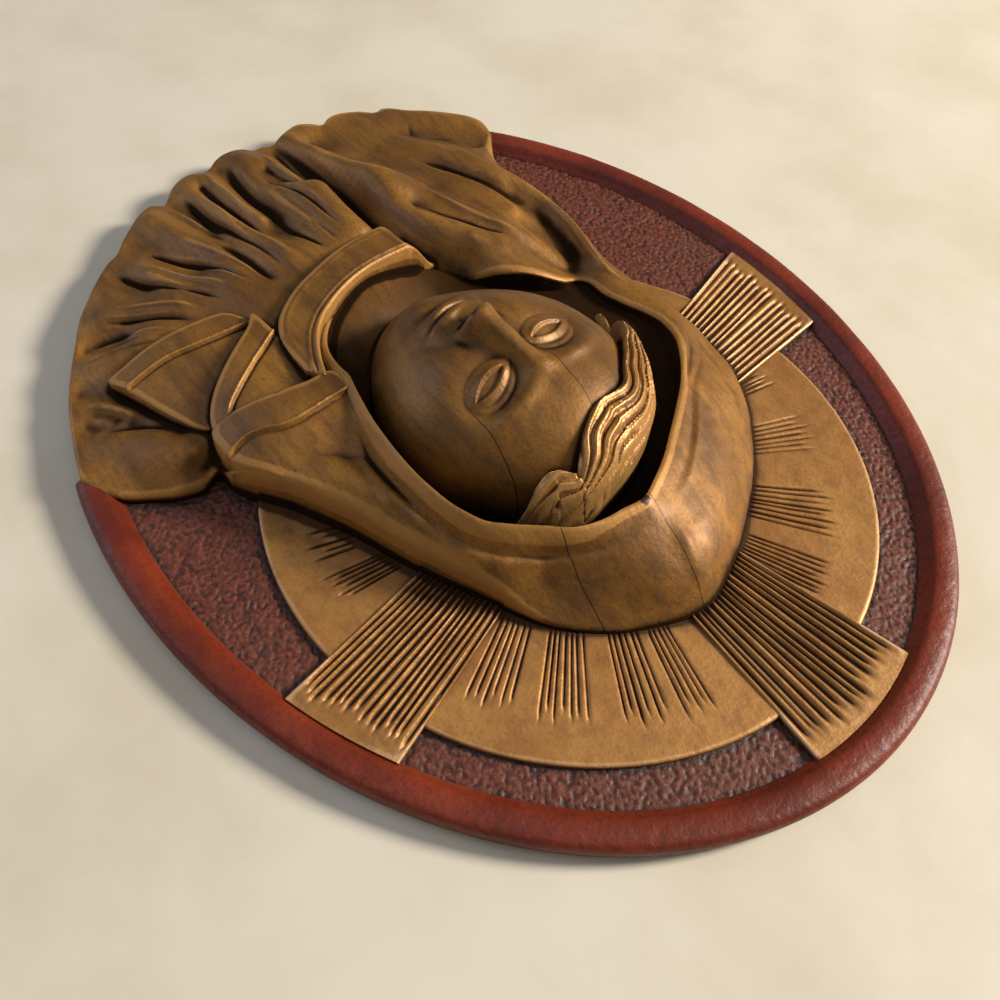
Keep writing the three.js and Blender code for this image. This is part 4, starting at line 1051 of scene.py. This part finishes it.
def board_outline():
    """The board's edge: the oval, then the scallops below."""
    a = np.linspace(*RIM_SPAN, 360)
    arc = np.column_stack(((HALF_WIDTH - BOARD_END) * np.cos(a), (HALF_HEIGHT - BOARD_END) * np.sin(a)))
    low = curve(scallops, 1.2)[1:-1, :2]
    low = low * (1 - BOARD_END / np.maximum(1, np.linalg.norm(low, axis=1)))[:, None]
    return np.vstack((arc, low))


def board_piece(name, material):
    """The board behind everything, flat at the back."""
    ring = board_outline()
    n = len(ring)
    levels = [(0.0, 0.5), (0.5, 0.0), (BOARD_THICKNESS, 0.0)]
    points = []
    for w, pull in levels:
        points.append(np.column_stack((ring * (1 - pull / 140), np.full(n, w))))
    points = np.vstack(points)
    quads = []
    for k in (0, 1):
        lower, upper = np.arange(n) + k * n, np.arange(n) + (k + 1) * n
        quads.append(np.column_stack((lower, np.roll(lower, -1), np.roll(upper, -1), upper)))
    caps = [np.arange(n)[::-1], np.arange(n) + 2 * n]
    return make_piece(name, points, np.vstack(quads), caps, material, 30)


# Materials
def tone(r, g, b):
    """A screen colour, 0 to 255, as linear light."""
    out = []
    for c in (r, g, b):
        c /= 255
        out.append(c / 12.92 if c <= 0.04045 else ((c + 0.055) / 1.055) ** 2.4)
    return (*out, 1.0)


class Paint:
    """Short calls for building one material's nodes."""

    def __init__(self, name):
        self.material = bpy.data.materials.new(name)
        self.material.use_nodes = True
        self.tree = self.material.node_tree
        self.shader = self.tree.nodes["Principled BSDF"]
        self.place = self.tree.nodes.new("ShaderNodeTexCoord").outputs["Object"]
        self.x, self.y, self.z = self.node("SeparateXYZ", {0: self.place}).outputs

    def put(self, value, socket):
        if isinstance(value, bpy.types.NodeSocket):
            self.tree.links.new(value, socket)
        else:
            socket.default_value = value

    def node(self, kind, inputs=(), **settings):
        """A new node, with settings by name and inputs by name or number."""
        node = self.tree.nodes.new("ShaderNode" + kind)
        for key, value in settings.items():
            setattr(node, key, value)
        for key, value in dict(inputs).items():
            self.put(value, node.inputs[key])
        return node

    def noise(self, scale, detail=4.0, rough=0.55, stretch=(1, 1, 1), turn=0.0, bend=0.0):
        mapping = self.node("Mapping", {"Vector": self.place, "Scale": stretch, "Rotation": (0, turn, 0)})
        return self.node("TexNoise", {"Vector": mapping.outputs[0], "Scale": scale, "Detail": detail,
                                      "Roughness": rough, "Distortion": bend}).outputs[0]

    def value(self, name):
        return self.node("Attribute", attribute_name=name).outputs["Fac"]

    def sum(self, kind, a, b=0.0, c=0.0):
        return self.node("Math", {0: a, 1: b, 2: c}, operation=kind).outputs[0]

    def times(self, a, b):
        return self.sum("MULTIPLY", a, b)

    def about(self, value, reach):
        """Value from 0 to 1, brought round zero and scaled."""
        return self.times(self.sum("SUBTRACT", value, 0.5), reach)

    def span(self, value, low, high, to_low=0.0, to_high=1.0):
        """Value from low to high, eased onto another span."""
        ends = {"Value": value, "From Min": low, "From Max": high, "To Min": to_low, "To Max": to_high}
        return self.node("MapRange", ends, interpolation_type="SMOOTHSTEP").outputs["Result"]

    def mix(self, share, a, b):
        return self.node("Mix", {0: share, 6: a, 7: b}, data_type="RGBA").outputs[2]

    def bump(self, height, strength, distance, after=None):
        inputs = {"Strength": strength, "Distance": distance, "Height": height}
        if after is not None:
            inputs["Normal"] = after
        return self.node("Bump", inputs).outputs[0]

    def set(self, **values):
        names = {"color": "Base Color", "roughness": "Roughness", "metallic": "Metallic", "normal": "Normal",
                 "coat": "Coat Weight", "coat_roughness": "Coat Roughness", "specular": "Specular IOR Level"}
        for key, value in values.items():
            self.put(value, self.shader.inputs[names[key]])
        return self.material


def gilded(name, tones, metallic, rough, spots=(), seams=False, grain=0.5, edges=None, shaded_pit=None,
           dark_span=(0.02, 0.95), long=0.16):
    """Old bronze-gold paint over wood, with brown wax and painted shade in the hollows and wear on the
    ridges.

    The tones are light, mid, dark and the wax tone, which is also the painted shade's tone. A spot is a
    chip: its place, radius and tone. Edges is the worn ridges' tone, dark_span the span of depth over which
    wax and painted shade gather, long how far streaks run, and shaded_pit the heights between which all
    goes dark as painted shade.
    """
    light, mid, dark, wax_and_shade = [tone(*c) for c in tones]
    p = Paint(name)
    broad = p.noise(38, 5, 0.6, (1, 1, 0.55))
    streak = p.noise(210, 4, 0.6, (1, 1, long), 0.12)
    stain = p.noise(70, 6, 0.7, (1, 1, 0.5), 0.3, 0.4)
    fine = p.noise(900, 3, 0.6)
    color = p.mix(p.span(broad, 0.36, 0.66), mid, light)
    color = p.mix(p.span(streak, 0.42, 0.72, 0, 0.5), color, dark)
    color = p.mix(p.span(stain, 0.5, 0.7, 0, 0.3), color, dark)
    color = p.mix(p.span(fine, 0.48, 0.72, 0, 0.42), color, dark)
    # Wax and painted shade: narrow creases and wide hollows darken towards the wax tone
    crease, hollow = p.value("crease"), p.value("hollow")
    deep = p.sum("MULTIPLY_ADD", crease, 1.15, p.times(hollow, 0.28))
    deep = p.sum("ADD", deep, p.about(broad, 0.5))
    deep = p.sum("ADD", deep, p.about(streak, 0.25))
    shade = p.span(deep, *dark_span)
    # Painted shade in the deep cavity: points fade to fully dark as they lie lower, between the pit's two
    # heights
    if shaded_pit:
        low = p.sum("ADD", p.y, p.about(broad, 0.004))
        shade = p.sum("MAXIMUM", shade, p.span(low, -shaded_pit[1] * MM, -shaded_pit[0] * MM))
    color = p.mix(p.times(shade, 0.93), color, wax_and_shade)
    worn = p.span(p.sum("MULTIPLY_ADD", fine, -0.25, p.times(crease, -1.0)), 0.12, 0.5, 0, 0.55)
    if edges:
        color = p.mix(worn, color, edges)
    for x, z, w, radius, paint in spots:
        away = p.node("VectorMath", {0: p.place, 1: (x * MM, -w * MM, z * MM)}, operation="DISTANCE")
        reach = p.sum("ADD", away.outputs["Value"], p.about(fine, 1.2 * radius * MM))
        color = p.mix(p.span(reach, 0.7 * radius * MM, radius * MM, 1, 0), color, paint)
    normal = p.bump(fine, 0.25, 0.0004)
    normal = p.bump(streak, grain, 0.0006, normal)
    if seams:
        wander = p.about(p.noise(45, 2), 0.0022)
        for x in SEAMS:
            off = p.sum("ABSOLUTE", p.sum("SUBTRACT", p.sum("ADD", p.x, wander), x * MM))
            line = p.span(off, 0.08 * MM, 0.26 * MM, 1, 0)
            line = p.times(line, p.span(p.z, SEAM_FOOT * MM, (SEAM_FOOT + 6) * MM))
            line = p.times(line, p.span(p.noise(60, 1), 0.3, 0.42))
            color = p.mix(p.times(line, 0.85), color, wax_and_shade)
    dull = p.sum("ADD", p.times(shade, 0.6), p.times(streak, 0.4))
    # Where shade is painted, metallic, specular and coat fall too, so the painted shade stays dark
    return p.set(color=color, normal=normal, roughness=p.span(dull, 0, 1, rough, rough + 0.3),
                 metallic=p.span(shade, 0.2, 1, metallic, 0.02), specular=p.span(shade, 0.3, 1, 0.5, 0.05),
                 coat=p.span(shade, 0.2, 0.8, 0.05, 0), coat_roughness=0.3)


# Tone of the brown wax in the hollows, used too as their painted shade
WAX_AND_SHADE = (20, 12, 7)
bust_paint = gilded(
    "bronze_gold_cloth", ((160, 110, 40), (122, 80, 27), (70, 42, 15), WAX_AND_SHADE),
    metallic=0.34, rough=0.52, spots=[(6, 70.8, 29, 2.2, tone(62, 22, 16))], seams=True,
    edges=tone(196, 142, 72),
)
skin_paint = gilded(
    "bronze_gold_head", ((152, 104, 38), (118, 77, 27), (72, 43, 17), WAX_AND_SHADE),
    metallic=0.36, rough=0.45, spots=[(17, 4.8, 54, 1.8, tone(30, 14, 10))], seams=True,
    grain=0.3, shaded_pit=(13, 27),
)
hair_paint = gilded(
    "bronze_gold_hair", ((166, 116, 50), (130, 86, 36), (80, 48, 20), WAX_AND_SHADE),
    metallic=0.42, rough=0.4, edges=tone(206, 156, 92), shaded_pit=(14, 30),
)
# The halo's and arms' last tone is likewise the wax and painted shade in their cuts
halo_paint = gilded(
    "ochre_gold_halo", ((186, 134, 70), (166, 113, 56), (128, 84, 42), (60, 42, 30)),
    metallic=0.36, rough=0.46, edges=tone(218, 168, 116), dark_span=(0.15, 1.05), long=0.75,
)
arm_paint = gilded(
    "ochre_gold_arms", ((182, 132, 70), (160, 110, 54), (122, 80, 40), (52, 36, 25)),
    metallic=0.36, rough=0.45, edges=tone(236, 192, 150), dark_span=(0.15, 1.0), long=0.5,
)


def red_band(name):
    """Red-brown satin band, dustier and greyer low on its outer side, with painted shade in its deepest
    creases.
    """
    p = Paint(name)
    broad = p.noise(30, 5, 0.6)
    fine = p.noise(520, 4, 0.6)
    color = p.mix(p.span(broad, 0.35, 0.68), tone(98, 32, 14), tone(128, 48, 23))
    color = p.mix(p.span(fine, 0.45, 0.75, 0, 0.5), color, tone(60, 20, 10))
    low = p.span(p.sum("ADD", p.y, p.about(broad, 0.002)), -0.0042, -0.0026)
    color = p.mix(p.times(low, 0.8), color, tone(92, 72, 58))
    # Painted shade in the deepest creases
    deep = p.span(p.value("crease"), 0.6, 1.6, 0, 0.6)
    color = p.mix(deep, color, tone(46, 24, 18))
    normal = p.bump(fine, 0.6, 0.0005)
    normal = p.bump(p.noise(150, 4), 0.5, 0.001, normal)
    rough = p.span(p.sum("ADD", fine, p.times(low, 0.5)), 0.3, 1.2, 0.42, 0.7)
    return p.set(color=color, metallic=0.0, roughness=rough, normal=normal, specular=0.35, coat=0.05,
                 coat_roughness=0.35)


def punched(name):
    """Dark red-brown ground, punched all over, with patches of grey dust, and painted shade in the punch
    marks and at the foot of the walls beside it.
    """
    p = Paint(name)
    fine = p.noise(760, 4, 0.6)
    broad = p.noise(42, 4, 0.6)
    color = p.mix(p.span(fine, 0.4, 0.66), tone(88, 38, 22), tone(118, 58, 36))
    color = p.mix(p.span(broad, 0.45, 0.7, 0, 0.25), color, tone(92, 64, 48))
    # Painted shade: near black in the punch marks and where the ground meets higher parts
    color = p.mix(p.span(p.value("crease"), 0.05, 0.5, 0, 0.8), color, tone(34, 17, 13))
    normal = p.bump(fine, 0.6, 0.0006)
    return p.set(color=color, metallic=0.0, roughness=p.span(fine, 0.3, 0.7, 0.42, 0.72), normal=normal)


def bare_wood(name):
    """Old sawn wood of the board, darkened by age."""
    p = Paint(name)
    rings = p.noise(60, 6, 0.6, (1, 1, 0.07), 0.03, 0.6)
    fine = p.noise(900, 4, 0.6, (1, 1, 0.05))
    color = p.mix(p.span(rings, 0.35, 0.65), tone(104, 78, 54), tone(140, 108, 76))
    color = p.mix(p.span(fine, 0.45, 0.7, 0, 0.5), color, tone(78, 56, 40))
    color = p.mix(p.span(p.noise(9, 4), 0.45, 0.75, 0, 0.5), color, tone(84, 66, 52))
    normal = p.bump(fine, 0.5, 0.0003)
    normal = p.bump(rings, 0.3, 0.0008, normal)
    return p.set(color=color, metallic=0.0, roughness=p.span(fine, 0.3, 0.7, 0.6, 0.85), normal=normal)


rim_paint = red_band("red_brown_rim")
ground_paint = punched("punched_ground")
wood_paint = bare_wood("bare_wood")

# The pieces
board_piece("board", wood_paint)
rim_piece("rim", rim_paint)

marks = Noise(cell=0.95, seed=31)
marks_fine = Noise(cell=0.7, seed=32)


def ground(x, z):
    v = marks(x, z)
    return GROUND - 0.34 * ease(v, -0.1, 0.7) + 0.1 * marks_fine(x, z)


def ground_keep(x, z):
    return (np.hypot(x - HALO_CENTRE[0], z - HALO_CENTRE[1]) > HALO_RADIUS - 1.5) & (bust_share(x, z) < 0.97)


relief("ground", [ellipse(GROUND_END)], ground, step=0.42, foot=1.0, material=ground_paint,
       soft=0.5, drop=0.0, keep=ground_keep, angle=60)
patch("halo", halo_points, halo_w, PIECE_FOOT, halo_paint)
for name, (p, w) in zip(("arm_top", "arm_right", "arm_left"), arm_grids):
    patch(name, p, w, PIECE_FOOT, arm_paint)
relief("veil", [bust_ring, opening_ring], cloth, step=0.55, foot=0.6, material=bust_paint,
       soft=1.1, drop=0.7, floor=7.0)
for k, (ring, height) in enumerate(zip(sheet_rings, sheet_heights)):
    relief(f"veil_end_{k + 1}", [ring], height, step=0.34, foot=8.0, material=bust_paint,
           soft=0.5, drop=0.3)
relief("collar", [collar_ring], collar, step=0.4, foot=7.0, material=bust_paint, soft=0.6, drop=0.35)
relief("head", [around_ring], head, step=0.36, foot=5.0, material=skin_paint,
       soft=0.4, drop=0.0, angle=75)
for name, ring, height in zip(("hair_left", "hair_right"), hair_rings, hair_heights):
    relief(name, [ring], height, step=0.36, foot=12.0, material=hair_paint,
           soft=0.9, drop=0.8, keep=lambda x, z: around_share(x, z) > 0.5, angle=60)

# Pale surface that it lies on, open behind the plaque so that its back can be seen
hole = board_outline() * 0.978 * MM
far = 3 * hole / np.linalg.norm(hole, axis=1)[:, None]
n = len(hole)
verts = [(x, 0.0004, z) for x, z in np.vstack((hole, far))]
faces = [(k, (k + 1) % n, n + (k + 1) % n, n + k) for k in range(n)]
mesh = bpy.data.meshes.new("surface")
mesh.from_pydata(verts, [], [f[::-1] for f in faces])
surface = add_object("surface", mesh)
p = Paint("pale_surface")
cream = p.mix(p.span(p.noise(12, 6, 0.6), 0.35, 0.7), tone(226, 217, 198), tone(214, 203, 180))
p.set(color=cream, roughness=0.55)
clear = p.node("BsdfTransparent")
side = p.node("NewGeometry")
choose = p.node("MixShader", {0: side.outputs["Backfacing"], 1: p.shader.outputs[0], 2: clear.outputs[0]})
p.put(choose.outputs[0], p.tree.nodes["Material Output"].inputs["Surface"])
mesh.materials.append(p.material)

# Camera at the photograph's place
camera = bpy.data.cameras.new("camera")
camera.sensor_width = 36
camera.lens = 36
camera.clip_start = 0.01
eye = add_object("camera", camera)
bpy.context.scene.camera = eye
across = Vector((-0.781, -0.070, 0.621))
up = Vector((-0.465, -0.599, -0.652))
ahead = Vector((-0.418, 0.798, -0.435))
eye.matrix_world = Matrix((
    (across.x, up.x, -ahead.x, 0.1526),
    (across.y, up.y, -ahead.y, -0.2462),
    (across.z, up.z, -ahead.z, 0.1665),
    (0, 0, 0, 1),
))


# Light
def lamp(name, towards, distance, size, power, color):
    data = bpy.data.lights.new(name, "AREA")
    data.shape = "DISK"
    data.size = size
    data.energy = power
    data.color = color
    obj = add_object(name, data)
    d = Vector(towards).normalized()
    obj.location = d * distance
    obj.rotation_euler = d.to_track_quat("Z", "Y").to_euler()


lamp("key", (-0.72, -0.5, 0.44), distance=2.0, size=0.5, power=58, color=(1.0, 0.93, 0.82))
lamp("front", (0.1, -1.0, 0.1), distance=1.8, size=1.6, power=4, color=(0.96, 0.97, 1.0))
lamp("cool", (0.62, -0.5, -0.75), distance=1.4, size=0.9, power=4.5, color=(0.62, 0.72, 1.0))
lamp("behind", (0.3, 1.0, 0.6), distance=1.8, size=1.4, power=22, color=(1.0, 0.98, 0.95))
bpy.context.scene.view_settings.view_transform = "Standard"
world = bpy.data.worlds.new("room")
bpy.context.scene.world = world
world.use_nodes = True
world.node_tree.nodes["Background"].inputs["Color"].default_value = (0.96, 0.95, 0.93, 1)
world.node_tree.nodes["Background"].inputs["Strength"].default_value = 0.165
